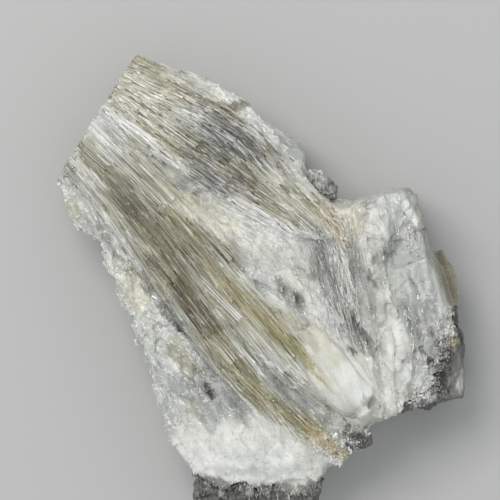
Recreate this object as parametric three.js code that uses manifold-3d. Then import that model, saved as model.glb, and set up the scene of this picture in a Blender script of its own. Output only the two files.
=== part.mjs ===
// A hydroboracite specimen about 98 mm wide, 111 mm long and 36 mm thick, lying on its back.
// Its display face looks up. Bundles of long fibrous crystals fan out from the upper left edge,
// between snowy white masses, with a blocky bladed part on the right. It all grew together, so the
// crystals are one solid. What is left of the grey clay that they grew in is on the lower end, on
// the lower right corner and in two chips, each a solid of its own.
// Units are millimetres: +X right and +Y up as the display face is seen, +Z out of that face.
import * as THREE from "three";
import { mergeVertices } from "three/addons/utils/BufferGeometryUtils.js";
import Module from "manifold-3d";

const wasm = await Module();
wasm.setup();

// ---- driving dimensions ----

const seatGap = 0.35; // between a clay piece and the crystals that it sits against
const gridStep = 4; // spacing of the front surface's facets
const clayStep = 2.4; // the same for the clay
const bedDrop = 0.8; // the white bed lies this far under the bundles of fibres
const bedBumps = 0.9; // unevenness of the white bed
const blendRadius = 7; // how far one height knot reaches
const weld = 1e-3; // corners closer than this are one
const blockBottom = -6; // cutting blocks start below the table
const blockTop = 60;

// The widest outline, clockwise from the top corner.
const outline = [
  [-30, 55], [-24.5, 52.5], [-14, 50], [-9.5, 47], [-4, 44.5], [0, 40],
  [5, 37], [9, 35.5], [10.5, 32.5], [10.5, 28.5], [18, 21.5], [22, 20],
  [26, 22.5], [35, 23.5], [37, 21.5], [40.5, 9], [44.5, 3.5], [47, -5],
  [47.5, -10.5], [48.5, -13.5], [49, -27.5], [42.5, -29], [40.5, -30.5], [37.5, -30],
  [31, -32], [29, -34], [26.5, -35], [23.5, -40], [21, -41], [18.5, -43.5],
  [15.5, -44.5], [13, -52], [11.5, -54.5], [-4.5, -56], [-13, -55], [-16.5, -52.5],
  [-16, -47], [-20.5, -40], [-21, -38], [-23.5, -34], [-29, -15.5], [-34.5, -4],
  [-36.5, 6.5], [-38.5, 9.5], [-44, 13], [-46, 15.5], [-48, 21.5], [-49.5, 24],
  [-49.5, 25.5], [-46.5, 30], [-43.5, 37], [-35.5, 50.5],
];

// How far the wall stands in from the outline at each height, and its unevenness there. The right
// side leans in more, so that it shows from the front, and the left side is nearly upright.
const wallCentre = [-2, 0];
const wallLevels = [
  { z: 0, left: 6, right: 5.5, rough: 2 },
  { z: 2.5, left: 2.6, right: 1.6, rough: 2.2 },
  { z: 8, left: 0.8, right: 0, rough: 2.4 },
  { z: 14, left: 0.4, right: 0, rough: 1.6 },
  { z: 21, left: 0, right: 1.2, rough: 0.5 },
  { z: 28, left: 0.6, right: 3, rough: 0.8 },
  { z: 40, left: 3.5, right: 5, rough: 1 },
];

// Heights of the front surface: x, y, z.
const heightKnots = [
  [-30, 54.5, 25], [-39, 44, 26.5], [-47, 29.5, 24], [-36.5, 45, 29], [-24.5, 41.5, 31],
  [-15, 32, 31], [-0.5, 27, 30.5], [9, 20, 30], [-18.5, 50.5, 24], [-4, 44, 24],
  [9, 35, 24], [17, 21, 26], [-39, 22.5, 27.5], [-27, 8, 28], [-17.5, -6, 27],
  [-10, -17, 27], [-0.5, -27.5, 26.5], [11, -35, 25.5], [19, -41, 22.5], [-15, 3.5, 30],
  [-3, -6, 31], [6.5, -14.5, 31.5], [-10, 17.5, 31], [4, 8, 33], [12.5, -4, 31],
  [19.5, -24, 31.5], [15, 3.5, 28.5], [17, -7.5, 27.5], [20.5, 17.5, 30.5], [25.5, 5.5, 32.5],
  [31.5, -4, 33], [32.5, -15.5, 33], [29, -27.5, 30], [38.5, -4, 31], [35.5, 20, 29],
  [40, 7, 29], [42, -15.5, 30], [46.5, -21.5, 26], [40, -27, 27], [-47, 21, 20],
  [-40, 10.5, 21], [-34, -2.5, 22], [-29.5, -14.5, 22], [-24.5, -27.5, 22.5], [-20, -38.5, 23],
  [-31.5, 5.5, 26], [-24.5, -8.5, 26.5], [-17.5, -23, 27], [-15, -35, 28], [-3, -39.5, 30],
  [9, -39.5, 28.5], [9, -46.5, 26], [-11.5, -46, 26], [-2, -54, 24],
];

// Bundles of fibres. Each runs between two side lines, from its left end to its right end.
const sheaves = [
  {
    sideA: [[-31.5, 54], [-20, 48.5], [-9, 42], [0, 35], [6.5, 25], [13, 19.5], [20.5, 12.5]],
    sideB: [[-40.5, 41.5], [-29.5, 32.5], [-18.5, 26.5], [-9, 19], [0, 14.5], [10, 11], [19.5, 9.5]],
    laths: 12, breaks: 2, lift: 1.8, groove: 0.2, depth: 5, seed: 11,
  },
  {
    sideA: [
      [-40.1, 42.1], [-30, 32], [-20, 20.5], [-11.5, 10.5],
      [-3, 0.5], [6.5, -10], [16, -21.5], [20, -27.5],
    ],
    sideB: [
      [-44.5, 34], [-34, 22.5], [-23.5, 11], [-15, 0],
      [-6.5, -11], [1, -19.5], [9, -26.5], [17, -30.5],
    ],
    laths: 7, breaks: 3, lift: 1.7, groove: 0.2, depth: 5, seed: 23,
  },
  {
    sideA: [
      [-44.2, 34.6], [-33.7, 23], [-23.2, 11.4], [-15, 0],
      [-6.5, -11], [0, -20], [7.5, -29], [20, -40],
    ],
    sideB: [
      [-47.5, 28.5], [-41, 20], [-35, 12.5], [-29.5, 3.5],
      [-21.5, -6.5], [-11.5, -21], [0, -31], [18, -43.5],
    ],
    laths: 8, breaks: 3, lift: 1.8, groove: 0.2, depth: 5, seed: 37,
  },
  {
    sideA: [[36.3, 21.8], [38, 12], [40, 1], [42, -8.5], [42.5, -18], [40.5, -29]],
    sideB: [[22, 20], [24.5, 8], [26, -1.5], [27.5, -11], [28.5, -20.5], [29.5, -32]],
    laths: 6, breaks: 3, lift: 2.8, groove: 1, depth: 5, seed: 53,
  },
  {
    sideA: [[20.2, 11.7], [21, 4], [22, -3], [23, -10]],
    sideB: [[12.4, 12.1], [13.5, 3.5], [15, -4], [17.5, -11.5]],
    laths: 4, breaks: 2, lift: 1, groove: 0.1, depth: 4, seed: 71,
  },
];

// Single blades that stand out of the right block: x and y of both ends, width, lift.
const blades = [
  [21.5, 19, 26, 2, 3, 3],
  [33, 21.5, 37.5, 12.5, 3.8, 3.4],
  [32, -7, 33.8, -17.5, 4, 3.2],
  [26, -12, 30, -32, 2.6, 1.6],
  [38.5, 6, 43, -8, 2.6, 2],
];

// Broad rises of the front: x, y, half length, half width, turn in degrees, rise.
const swellings = [
  [2, 9, 15, 6, -34, 1.8],
  [20, -4, 9, 5, -60, 1],
  [-6, -40, 15, 8, 4, 2.4],
  [10, -42, 9, 6, -15, 1.8],
  [-43, 20, 7, 5, -40, 1.6],
  [1, 39, 9, 5, -38, 1.4],
];

// The rounded white lobe. Its rise is its centre's height above the front.
const lobe = { at: [15.5, -20.5], halfSize: [13, 6, 4], turn: -48, rise: 0.4 };

// Broken splinters that lie along a line: how many, how far they stray from it, their direction in
// degrees, and the range of their lengths.
const splinterRows = [
  {
    line: [[-44, 18.5], [-38, 9.5], [-33, 0], [-29, -10], [-25, -22], [-20, -38]],
    count: 17, spread: 1.6, heading: -62, lengths: [3, 6.5],
  },
  {
    line: [[-38, 12], [-30, 3], [-24, -9], [-18, -22], [-14, -34]],
    count: 9, spread: 2.6, heading: -55, lengths: [3, 7],
  },
  {
    line: [[-14, -43], [-4, -45.5], [7, -45.5], [13, -43]],
    count: 6, spread: 1.6, heading: -15, lengths: [3, 6],
  },
  {
    line: [[-25, 20], [-14, 12], [-4, 4], [7, -7], [12, -13]],
    count: 6, spread: 1.8, heading: -44, lengths: [4, 8],
  },
  {
    line: [[-8, 44], [0, 38], [7, 31], [12, 24]],
    count: 5, spread: 1.5, heading: -48, lengths: [3, 5.5],
  },
  {
    line: [[6, -31], [14, -32], [22, -33], [28, -32]],
    count: 5, spread: 1.8, heading: -35, lengths: [3, 5.5],
  },
];

// Small dark hollows in the front: x, y, half length, half width, depth, turn in degrees.
const pits = [
  [-12.8, -25.2, 2.6, 1.2, 2.6, -60],
  [6.2, -22, 1.2, 0.8, 2, -40],
  [-14.4, 20.8, 1.2, 0.8, 1.8, -20],
  [8.4, -3.4, 2.6, 0.9, 2.6, -58],
  [-19.8, -10.5, 3, 1.2, 2.2, -62],
];

// A recess with a sharp right corner, between the right block and the rounded lobe.
const recess = { corners: [[20, -8], [21.5, -7], [26.4, -14], [26.2, -17.5], [21.2, -16.5]], depth: 2.4 };

// A thin lens of crystal that stands out of the right wall, seen past the block's edge.
const wallLens = { at: [43.2, -0.5, 14], halfSize: [3.6, 9.5, 7], turn: 13 };

// The upper edge of the clay on the lower end, left to right, and the inner edge of the clay on the
// right corner, top to bottom.
const clayBaseEdge = [
  [-22, -44], [-18.5, -45], [-14, -46], [-10, -49], [-7, -48], [-4, -47.5], [-1.5, -49.5],
  [0.5, -48.5], [4.5, -48], [6, -50], [9, -49], [11, -49], [15, -46.5], [19, -46],
];
const clayRimEdge = [
  [52, -3], [45.5, -6], [44, -10], [42, -14.5], [42, -19.5], [40, -24], [37, -27], [33.5, -28.5], [32, -36],
];
const clayBaseDrop = 1.4; // the clay stands this much lower than the crystals
const clayRimDrop = 1.8;

// Loose-looking chips of the same clay, let into the crystals: x, y, z, half sizes, turn in degrees.
const chips = {
  clay_chip_upper: { at: [14.3, 23.8, 23.5], halfSize: [5.2, 2.4, 4], turn: -46 },
  clay_chip_lower: { at: [22.6, -36.6, 24.8], halfSize: [4, 3, 3.4], turn: 20 },
};

// Hollows in the back: x, y, half sizes across, depth. What lies between them rests on the table.
const backHollows = [
  [-24, 27, 13, 8, 1.6],
  [22, 3, 9, 11, 1.3],
  [-8, -34, 10, 7, 1.5],
  [-3, 8, 8, 5, 0.9],
];

// ---- materials ----

const crystalMaterial = new THREE.MeshStandardMaterial({ color: 0xd8d7cc, roughness: 0.45, metalness: 0 });
const clayMaterial = new THREE.MeshStandardMaterial({ color: 0x68665f, roughness: 0.9, metalness: 0 });

// ---- small helpers ----

const up = new THREE.Vector3(0, 0, 1);

// Repeatable numbers from 0 to 1.
function makeRandom(seed) {
  let state = seed >>> 0;
  return () => {
    state = (state + 0x6d2b79f5) >>> 0;
    let t = state;
    t = Math.imul(t ^ (t >>> 15), t | 1);
    t ^= t + Math.imul(t ^ (t >>> 7), t | 61);
    return ((t ^ (t >>> 14)) >>> 0) / 4294967296;
  };
}

// A repeatable number from -1 to 1 for a lattice corner.
function cornerValue(i, j, seed) {
  return makeRandom(i * 7919 + j * 104729 + seed * 1299709)() * 2 - 1;
}

// Smooth noise from -1 to 1 with cells of the given size.
function bumps(x, y, cell, seed) {
  const u = x / cell;
  const v = y / cell;
  const i = Math.floor(u);
  const j = Math.floor(v);
  const ease = (t) => t * t * (3 - 2 * t);
  const fu = ease(u - i);
  const fv = ease(v - j);
  const low = THREE.MathUtils.lerp(cornerValue(i, j, seed), cornerValue(i + 1, j, seed), fu);
  const high = THREE.MathUtils.lerp(cornerValue(i, j + 1, seed), cornerValue(i + 1, j + 1, seed), fu);
  return THREE.MathUtils.lerp(low, high, fv);
}

// The front surface without its grain: the knots blended, each over its own neighbourhood.
function frontHeight(x, y) {
  let total = 0;
  let weights = 1e-12;
  for (const [kx, ky, kz] of heightKnots) {
    const distance = Math.hypot(x - kx, y - ky);
    const weight = Math.exp(-((distance / blendRadius) ** 2)) + 1e-6;
    total += weight * kz;
    weights += weight;
  }
  const swelling = swellings.reduce((sum, [sx, sy, rx, ry, turn, rise]) => {
    const offset = new THREE.Vector3(x - sx, y - sy).applyAxisAngle(up, THREE.MathUtils.degToRad(-turn));
    const reach = Math.min(1, (offset.x / rx) ** 2 + (offset.y / ry) ** 2);
    return sum + rise * (1 - reach) ** 2;
  }, 0);
  return total / weights + swelling;
}

// True if a point lies inside a ring of corners.
function isInside(x, y, ring) {
  let inside = false;
  ring.forEach(([x1, y1], i) => {
    const [x2, y2] = ring.at(i - 1);
    if (y1 > y !== y2 > y && x < x1 + ((x2 - x1) * (y - y1)) / (y2 - y1)) inside = !inside;
  });
  return inside;
}

function solidOf(geometry) {
  const bare = geometry.clone();
  bare.deleteAttribute("normal");
  bare.deleteAttribute("uv");
  const merged = mergeVertices(bare, weld);
  return new wasm.Manifold(
    new wasm.Mesh({
      numProp: 3,
      vertProperties: merged.attributes.position.array,
      triVerts: new Uint32Array(merged.index.array),
    }),
  );
}

// The largest of a solid's separate bodies, without crumbs cut loose or hollows sealed in.
function largestBody(solid) {
  return solid.decompose().reduce((best, body) => (body.volume() > best.volume() ? body : best));
}

function geometryOf(solid) {
  const { vertProperties, triVerts } = solid.getMesh();
  const geometry = new THREE.BufferGeometry();
  geometry.setAttribute("position", new THREE.BufferAttribute(vertProperties, 3));
  return geometry.setIndex(new THREE.BufferAttribute(triVerts, 1));
}

// A closed body between two sheets of points with the same rows and columns.
function bodyBetween(top, bottom) {
  const rows = top.length;
  const columns = top[0].length;
  const positions = [...top.flat(), ...bottom.flat()].flat();
  const upper = (r, c) => r * columns + c;
  const lower = (r, c) => rows * columns + upper(r, c);
  const triangles = [];
  const quad = (a, b, c, d) => triangles.push(a, b, c, a, c, d);
  for (let r = 0; r + 1 < rows; r++) {
    for (let c = 0; c + 1 < columns; c++) {
      quad(upper(r, c), upper(r, c + 1), upper(r + 1, c + 1), upper(r + 1, c));
      quad(lower(r, c), lower(r + 1, c), lower(r + 1, c + 1), lower(r, c + 1));
    }
    quad(upper(r, 0), upper(r + 1, 0), lower(r + 1, 0), lower(r, 0));
    quad(upper(r, columns - 1), lower(r, columns - 1), lower(r + 1, columns - 1), upper(r + 1, columns - 1));
  }
  for (let c = 0; c + 1 < columns; c++) {
    quad(upper(0, c), lower(0, c), lower(0, c + 1), upper(0, c + 1));
    quad(upper(rows - 1, c), upper(rows - 1, c + 1), lower(rows - 1, c + 1), lower(rows - 1, c));
  }
  const geometry = new THREE.BufferGeometry();
  geometry.setAttribute("position", new THREE.BufferAttribute(new Float32Array(positions), 3));
  geometry.setIndex(triangles);
  return solidOf(geometry);
}

// ---- the stone's rough shape ----

// A wall lofted through the outline's rings, one for each level.
function makeWall() {
  const rings = wallLevels.map((level, k) =>
    outline.map(([x, y], i) => {
      const away = new THREE.Vector2(x - wallCentre[0], y - wallCentre[1]);
      const rightness = THREE.MathUtils.smoothstep(away.x / away.length(), -0.3, 0.7);
      const inset = THREE.MathUtils.lerp(level.left, level.right, rightness);
      const rough = level.rough * Math.abs(cornerValue(i, k, 5));
      const distance = away.length() - inset - rough;
      away.setLength(distance);
      return [wallCentre[0] + away.x, wallCentre[1] + away.y, level.z];
    }),
  );
  const count = outline.length;
  const triangles = [];
  for (let k = 0; k + 1 < rings.length; k++) {
    for (let i = 0; i < count; i++) {
      const next = (i + 1) % count;
      const [a, b, c, d] = [k * count + i, k * count + next, (k + 1) * count + next, (k + 1) * count + i];
      triangles.push(a, c, b, a, d, c);
    }
  }
  const last = (rings.length - 1) * count;
  const flat = (ring) => ring.map(([x, y]) => new THREE.Vector2(x, y));
  for (const [a, b, c] of THREE.ShapeUtils.triangulateShape(flat(rings[0]), [])) triangles.push(a, c, b);
  for (const [a, b, c] of THREE.ShapeUtils.triangulateShape(flat(rings.at(-1)), [])) {
    triangles.push(last + a, last + b, last + c);
  }
  const geometry = new THREE.BufferGeometry();
  geometry.setAttribute("position", new THREE.BufferAttribute(new Float32Array(rings.flat(2)), 3));
  geometry.setIndex(triangles);
  return solidOf(geometry);
}

// Everything under a surface given by a height function, as a block of facets with uneven corners.
function blockUnder(height, step, [x0, y0, x1, y1]) {
  const columns = Math.ceil((x1 - x0) / step);
  const rows = Math.ceil((y1 - y0) / step);
  const uneven = 0.27 * step;
  const top = [];
  const bottom = [];
  for (let r = 0; r <= rows; r++) {
    top.push([]);
    bottom.push([]);
    for (let c = 0; c <= columns; c++) {
      const x = x0 + c * step + uneven * cornerValue(c, r, 1);
      const y = y0 + r * step + uneven * cornerValue(c, r, 2);
      top[r].push([x, y, height(x, y)]);
      bottom[r].push([x, y, blockBottom]);
    }
  }
  return bodyBetween(top, bottom);
}

function prism(corners, low = blockBottom, high = blockTop) {
  const shape = new THREE.Shape(corners.map(([x, y]) => new THREE.Vector2(x, y)));
  const geometry = new THREE.ExtrudeGeometry(shape, { depth: high - low, bevelEnabled: false });
  return solidOf(geometry.translate(0, 0, low));
}

// ---- crystals ----

function sideLine(points) {
  return new THREE.CatmullRomCurve3(points.map(([x, y]) => new THREE.Vector3(x, y, 0)));
}

// A bundle of flat laths side by side. Each lath has its own width and tilt, and its own steps where
// it broke across.
function makeSheaf({ sideA, sideB, laths, breaks, lift, groove, depth, seed }) {
  const random = makeRandom(seed);
  const curveA = sideLine(sideA);
  const curveB = sideLine(sideB);
  const rowCount = 2 * breaks + 2;
  const evenly = (row) => row / (rowCount - 1);
  const at = (u, v, rise) => {
    const p = curveA.getPoint(u).lerp(curveB.getPoint(u), v);
    return [p.x, p.y, frontHeight(p.x, p.y) + rise];
  };
  const widths = Array.from({ length: laths }, () => 0.5 + random());
  const fullWidth = widths.reduce((sum, width) => sum + width);
  const grooveAt = (v) => Array.from({ length: rowCount }, (_, row) => at(evenly(row), v, groove));
  const columns = [grooveAt(0)];
  let edge = 0;
  for (const width of widths) {
    const tilt = 0.7 * (random() - 0.5);
    const stations = [0.03 * random()];
    const rises = [lift * (0.4 + 0.6 * random())];
    for (let b = 1; b <= breaks; b++) {
      const u = (b + 0.6 * (random() - 0.5)) / (breaks + 1);
      stations.push(u - 0.006, u + 0.006);
      rises.push(rises.at(-1), lift * (0.3 + 0.7 * random()));
    }
    stations.push(1 - 0.1 * random());
    rises.push(0.5 * rises.at(-1));
    for (const [share, side] of [[0.14, 1], [0.86, -1]]) {
      const v = (edge + share * width) / fullWidth;
      columns.push(stations.map((u, row) => at(u, v, rises[row] * (1 + side * tilt))));
    }
    edge += width;
    columns.push(grooveAt(edge / fullWidth));
  }
  const top = Array.from({ length: rowCount }, (_, row) => columns.map((column) => column[row]));
  const bottom = top.map((row) => row.map(([x, y]) => [x, y, frontHeight(x, y) - depth]));
  return bodyBetween(top, bottom);
}

// A blade with a ridge along it and a broken lower end.
function makeBlade([x0, y0, x1, y1, width, lift], index) {
  const random = makeRandom(400 + index);
  const along = new THREE.Vector2(x1 - x0, y1 - y0);
  const across = new THREE.Vector2(-along.y, along.x).normalize();
  const profile = [[-0.5, 0.15], [-0.2, 1], [0.25, 0.8], [0.5, 0.1]];
  const stations = [[0, 0.5, 0.3], [0.3, 1, 0.9], [0.97, 1.05, 1.15], [1, 0.85, 0.5]];
  const top = stations.map(([u, wide, high]) =>
    profile.map(([side, rise]) => {
      const reach = u + (u > 0.9 ? 0.08 * (random() - 0.5) : 0);
      const x = x0 + along.x * reach + across.x * side * width * wide;
      const y = y0 + along.y * reach + across.y * side * width * wide;
      return [x, y, frontHeight(x, y) + lift * rise * high];
    }),
  );
  const bottom = top.map((row) => row.map(([x, y]) => [x, y, frontHeight(x, y) - 4]));
  return bodyBetween(top.reverse(), bottom.reverse());
}

// A faceted, uneven ball.
function makeLump(x, y, z, [rx, ry, rz], turn, detail, seed) {
  const geometry = new THREE.IcosahedronGeometry(1, detail);
  const position = geometry.attributes.position;
  const p = new THREE.Vector3();
  for (let i = 0; i < position.count; i++) {
    p.fromBufferAttribute(position, i);
    const key = Math.round(p.x * 40) + 97 * Math.round(p.y * 40) + 7919 * Math.round(p.z * 40);
    p.multiplyScalar(1 + 0.13 * cornerValue(key, 0, seed));
    position.setXYZ(i, p.x, p.y, p.z);
  }
  geometry.scale(rx, ry, rz);
  geometry.rotateZ(THREE.MathUtils.degToRad(turn));
  geometry.translate(x, y, z);
  return solidOf(geometry);
}

// A tapered splinter, tilted and rolled a little.
function makeSplinter(x, y, z, length, heading, random) {
  const width = length * (0.3 + 0.15 * random());
  const geometry = new THREE.BoxGeometry(length, width, 0.8 * width);
  const position = geometry.attributes.position;
  const taper = 0.45 + 0.4 * random();
  for (let i = 0; i < position.count; i++) {
    if (position.getX(i) < 0) continue;
    position.setXYZ(i, position.getX(i), position.getY(i) * taper, position.getZ(i) * taper);
  }
  geometry.rotateX(0.9 * (random() - 0.5));
  geometry.rotateY(0.5 * (random() - 0.5));
  geometry.rotateZ(THREE.MathUtils.degToRad(heading + 40 * (random() - 0.5)));
  return solidOf(geometry.translate(x, y, z));
}

function makeSplinterRow({ line, count, spread, heading, lengths: [least, most] }, index) {
  const random = makeRandom(700 + index);
  const curve = sideLine(line);
  return Array.from({ length: count }, (_, i) => {
    const p = curve.getPoint((i + 0.5) / count);
    const x = p.x + spread * (2 * random() - 1);
    const y = p.y + spread * (2 * random() - 1);
    const length = THREE.MathUtils.lerp(least, most, random());
    return makeSplinter(x, y, frontHeight(x, y) + 0.04 * length, length, heading, random);
  });
}

function makePit([x, y, rx, ry, depth, turn], index) {
  return makeLump(x, y, frontHeight(x, y) + 1, [rx, ry, depth + 1], turn, 0, 300 + index);
}

// ---- clay ----

// The clay's side of an edge line, moved back by a gap along a direction.
function clayZone(edge, farCorners, [backX, backY] = [0, 0]) {
  return prism([...edge.map(([x, y]) => [x + backX, y + backY]), ...farCorners]);
}

const baseCorners = [[19, -60], [-22, -60]];
const rimCorners = [[32, -40], [56, -40], [56, -3]];

function makeChip({ at: [x, y, z], halfSize, turn }, grow = 0) {
  return makeLump(x, y, z, halfSize.map((half) => half * (1 + grow / Math.min(...halfSize))), turn, 0, 611);
}

// ---- assembly ----

const whole = [-53, -59, 53, 58];
const wall = makeWall();
const footprints = sheaves.map(({ sideA, sideB }) => [...sideA, ...sideB.toReversed()]);
const bedHeight = (x, y) => {
  const covered = footprints.some((ring) => isInside(x, y, ring));
  return frontHeight(x, y) + bedBumps * (covered ? 0.2 : 1) * bumps(x, y, 6, 3) - (covered ? bedDrop : 0);
};

const [lobeX, lobeY] = lobe.at;
const growths = [
  ...sheaves.map(makeSheaf),
  ...blades.map(makeBlade),
  ...splinterRows.flatMap(makeSplinterRow),
  makeLump(lobeX, lobeY, frontHeight(lobeX, lobeY) + lobe.rise, lobe.halfSize, lobe.turn, 2, 50),
  makeLump(...wallLens.at, wallLens.halfSize, wallLens.turn, 2, 777),
];
let crystals = wall.intersect(blockUnder(bedHeight, gridStep, whole));
for (const growth of growths) crystals = crystals.add(growth);
for (const pit of pits.map(makePit)) crystals = crystals.subtract(pit);
const [recessX, recessY] = recess.corners[2];
crystals = crystals.subtract(prism(recess.corners, frontHeight(recessX, recessY) - recess.depth));

const clayFront = (drop, seed) => (x, y) =>
  frontHeight(x, y) - drop + 0.8 * bumps(x, y, 3, seed) + 0.4 * bumps(x, y, 1.5, seed + 1);
const clayBase = wall
  .intersect(blockUnder(clayFront(clayBaseDrop, 8), clayStep, [-22, -60, 20, -42]))
  .intersect(clayZone(clayBaseEdge, baseCorners));
const clayRim = wall
  .intersect(blockUnder(clayFront(clayRimDrop, 14), clayStep, [30, -38, 54, -1]))
  .intersect(clayZone(clayRimEdge, rimCorners));

crystals = crystals
  .subtract(clayZone(clayBaseEdge, baseCorners, [0, 1.4 * seatGap]))
  .subtract(clayZone(clayRimEdge, rimCorners, [-seatGap, seatGap]));
for (const [x, y, rx, ry, depth] of backHollows) {
  crystals = crystals.subtract(makeLump(x, y, 0, [rx, ry, depth], 0, 1, 800 + rx));
}
for (const chip of Object.values(chips)) crystals = crystals.subtract(makeChip(chip, seatGap));

const pieces = [
  ["crystal_mass", crystals, crystalMaterial],
  ["clay_base", clayBase, clayMaterial],
  ["clay_rim", clayRim, clayMaterial],
  ...Object.entries(chips).map(([name, chip]) => [name, makeChip(chip), clayMaterial]),
];

// The origin goes under the middle of the whole specimen, on the table.
const box = new THREE.Box3();
for (const [, solid] of pieces) {
  const { min, max } = solid.boundingBox();
  box.union(new THREE.Box3(new THREE.Vector3(...min), new THREE.Vector3(...max)));
}
const middle = box.getCenter(new THREE.Vector3());

const specimen = new THREE.Group();
for (const [name, solid, material] of pieces) {
  const placed = geometryOf(solid).translate(-middle.x, -middle.y, -box.min.z);
  const geometry = geometryOf(largestBody(solidOf(placed)));
  geometry.computeVertexNormals();
  const mesh = new THREE.Mesh(geometry, material);
  mesh.name = name;
  specimen.add(mesh);
}

export default specimen;
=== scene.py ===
import itertools
import math

import bmesh
import bpy
import numpy as np
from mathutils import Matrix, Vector
from mathutils.bvhtree import BVHTree


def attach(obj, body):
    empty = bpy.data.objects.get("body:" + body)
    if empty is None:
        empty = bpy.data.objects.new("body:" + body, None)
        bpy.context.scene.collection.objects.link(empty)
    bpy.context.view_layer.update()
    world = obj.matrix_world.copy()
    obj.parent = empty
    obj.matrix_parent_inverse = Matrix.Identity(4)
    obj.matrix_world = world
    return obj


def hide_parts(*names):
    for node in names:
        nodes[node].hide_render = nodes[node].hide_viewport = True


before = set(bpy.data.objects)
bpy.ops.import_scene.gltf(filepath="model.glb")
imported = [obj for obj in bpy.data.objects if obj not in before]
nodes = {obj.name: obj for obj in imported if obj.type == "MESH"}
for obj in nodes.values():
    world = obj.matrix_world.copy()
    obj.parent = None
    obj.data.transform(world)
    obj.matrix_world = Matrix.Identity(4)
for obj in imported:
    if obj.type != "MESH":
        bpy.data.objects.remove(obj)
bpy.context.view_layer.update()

mm = 0.001
partShift = np.array([0.456, 0.332])  # mm, from the guide lines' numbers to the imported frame


def toLinear(red, green, blue):
    # a colour as seen on a screen, 0 to 255, as the shader wants it
    values = np.array([red, green, blue]) / 255.0
    return tuple(np.where(values <= 0.04045, values / 12.92, ((values + 0.055) / 1.055) ** 2.4))


def cornerValue(cell, seed):
    # a repeatable value from -1 to 1 for each cell of a grid, mixed from its numbers with large primes
    mixed = seed * 2654435761
    for axis, prime in enumerate((73856093, 19349663, 83492791)):
        mixed = mixed ^ (cell[..., axis].astype(np.int64) * prime)
    for shift, prime in ((13, 1274126177), (16, 668265263)):
        mixed = ((mixed ^ (mixed >> shift)) * prime) & 0x7FFFFFFF
    return (mixed % 100003) / 50001.5 - 1.0


def softNoise(points, cellSize, seed):
    # smooth noise from -1 to 1; cellSize is one number or three
    scaled = points / np.asarray(cellSize, float)
    low = np.floor(scaled)
    part = scaled - low
    part = part * part * (3 - 2 * part)
    total = np.zeros(len(points))
    for corner in itertools.product((0, 1), repeat=3):
        weight = np.abs(1 - np.array(corner) - part)
        total += weight[:, 0] * weight[:, 1] * weight[:, 2] * cornerValue(low + corner, seed)
    return total


def layeredNoise(points, cellSize, seed, layers=2):
    # finer and weaker layers of soft noise, added up
    total, size, share = 0.0, np.asarray(cellSize, float), 1.0
    for layer in range(layers):
        total = total + share * softNoise(points, size, seed + 17 * layer)
        size, share = size / 2.1, share * 0.55
    return total


def unit(vectors):
    return vectors / np.linalg.norm(vectors, axis=1)[:, None]


def turned(flat, angle):
    # points or directions seen from above, turned about the origin by radians
    c, s = np.cos(angle), np.sin(angle)
    return np.column_stack([flat[:, 0] * c - flat[:, 1] * s, flat[:, 0] * s + flat[:, 1] * c])


# guide lines of the crystals' grain, in mm: the two sides of each sheaf
sheaves = {
    "upper": {
        "sideA": [(-31.5, 54), (-20, 48.5), (-9, 42), (0, 35), (6.5, 25), (13, 19.5), (20.5, 12.5)],
        "sideB": [(-40.5, 41.5), (-29.5, 32.5), (-18.5, 26.5), (-9, 19), (0, 14.5), (10, 11), (19.5, 9.5)],
    },
    "middle": {
        "sideA": [
            (-40.1, 42.1), (-30, 32), (-20, 20.5), (-11.5, 10.5),
            (-3, 0.5), (6.5, -10), (16, -21.5), (20, -27.5),
        ],
        "sideB": [
            (-44.5, 34), (-34, 22.5), (-23.5, 11), (-15, 0),
            (-6.5, -11), (1, -19.5), (9, -26.5), (17, -30.5),
        ],
    },
    "lower": {
        "sideA": [
            (-44.2, 34.6), (-33.7, 23), (-23.2, 11.4), (-15, 0),
            (-6.5, -11), (0, -20), (7.5, -29), (20, -40),
        ],
        "sideB": [
            (-47.5, 28.5), (-41, 20), (-35, 12.5), (-29.5, 3.5),
            (-21.5, -6.5), (-11.5, -21), (0, -31), (18, -43.5),
        ],
    },
    "block": {
        "sideA": [(36.3, 21.8), (38, 12), (40, 1), (42, -8.5), (42.5, -18), (40.5, -29)],
        "sideB": [(22, 20), (24.5, 8), (26, -1.5), (27.5, -11), (28.5, -20.5), (29.5, -32)],
    },
    "valley": {
        "sideA": [(20.2, 11.7), (21, 4), (22, -3), (23, -10)],
        "sideB": [(12.4, 12.1), (13.5, 3.5), (15, -4), (17.5, -11.5)],
    },
}
fibrous = ("upper", "middle", "lower")  # the sheaves that are ribbed all over

# where no sheaf runs, the grain follows the nearest of these
extraGuides = [
    [(-20, 18), (-8, 8), (4, -4), (16, -18), (26, -30)],
    [(-14, 24), (-2, 15), (8, 6), (14, -2)],
    [(-46, 20), (-38, 7), (-32, -7), (-26, -23), (-20, -40)],
    [(-16, -26), (-11, -36), (-8, -46)],
    [(2, -34), (4, -42), (6, -50)],
    [(-22, 51), (-10, 45), (2, 38), (10, 29), (17, 22)],
    [(45, 3), (47, -8), (48, -22)],
]
guideSteps, extraSteps = 24, 16  # samples along each guide line


def resample(line, count):
    # evenly spaced points along a polyline
    line = np.array(line, float) + partShift
    reached = np.concatenate([[0], np.cumsum(np.hypot(*np.diff(line, axis=0).T))])
    wanted = np.linspace(0, reached[-1], count)
    return np.column_stack([np.interp(wanted, reached, line[:, axis]) for axis in (0, 1)])


def guideSamples():
    # places along all guide lines, and the grain's direction at each
    lines = [resample(sheaf[side], guideSteps) for sheaf in sheaves.values() for side in ("sideA", "sideB")]
    lines += [resample(line, extraSteps) for line in extraGuides]
    return np.concatenate(lines), unit(np.concatenate([np.gradient(line, axis=0) for line in lines]))


guidePlaces, guideHeadings = guideSamples()


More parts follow.
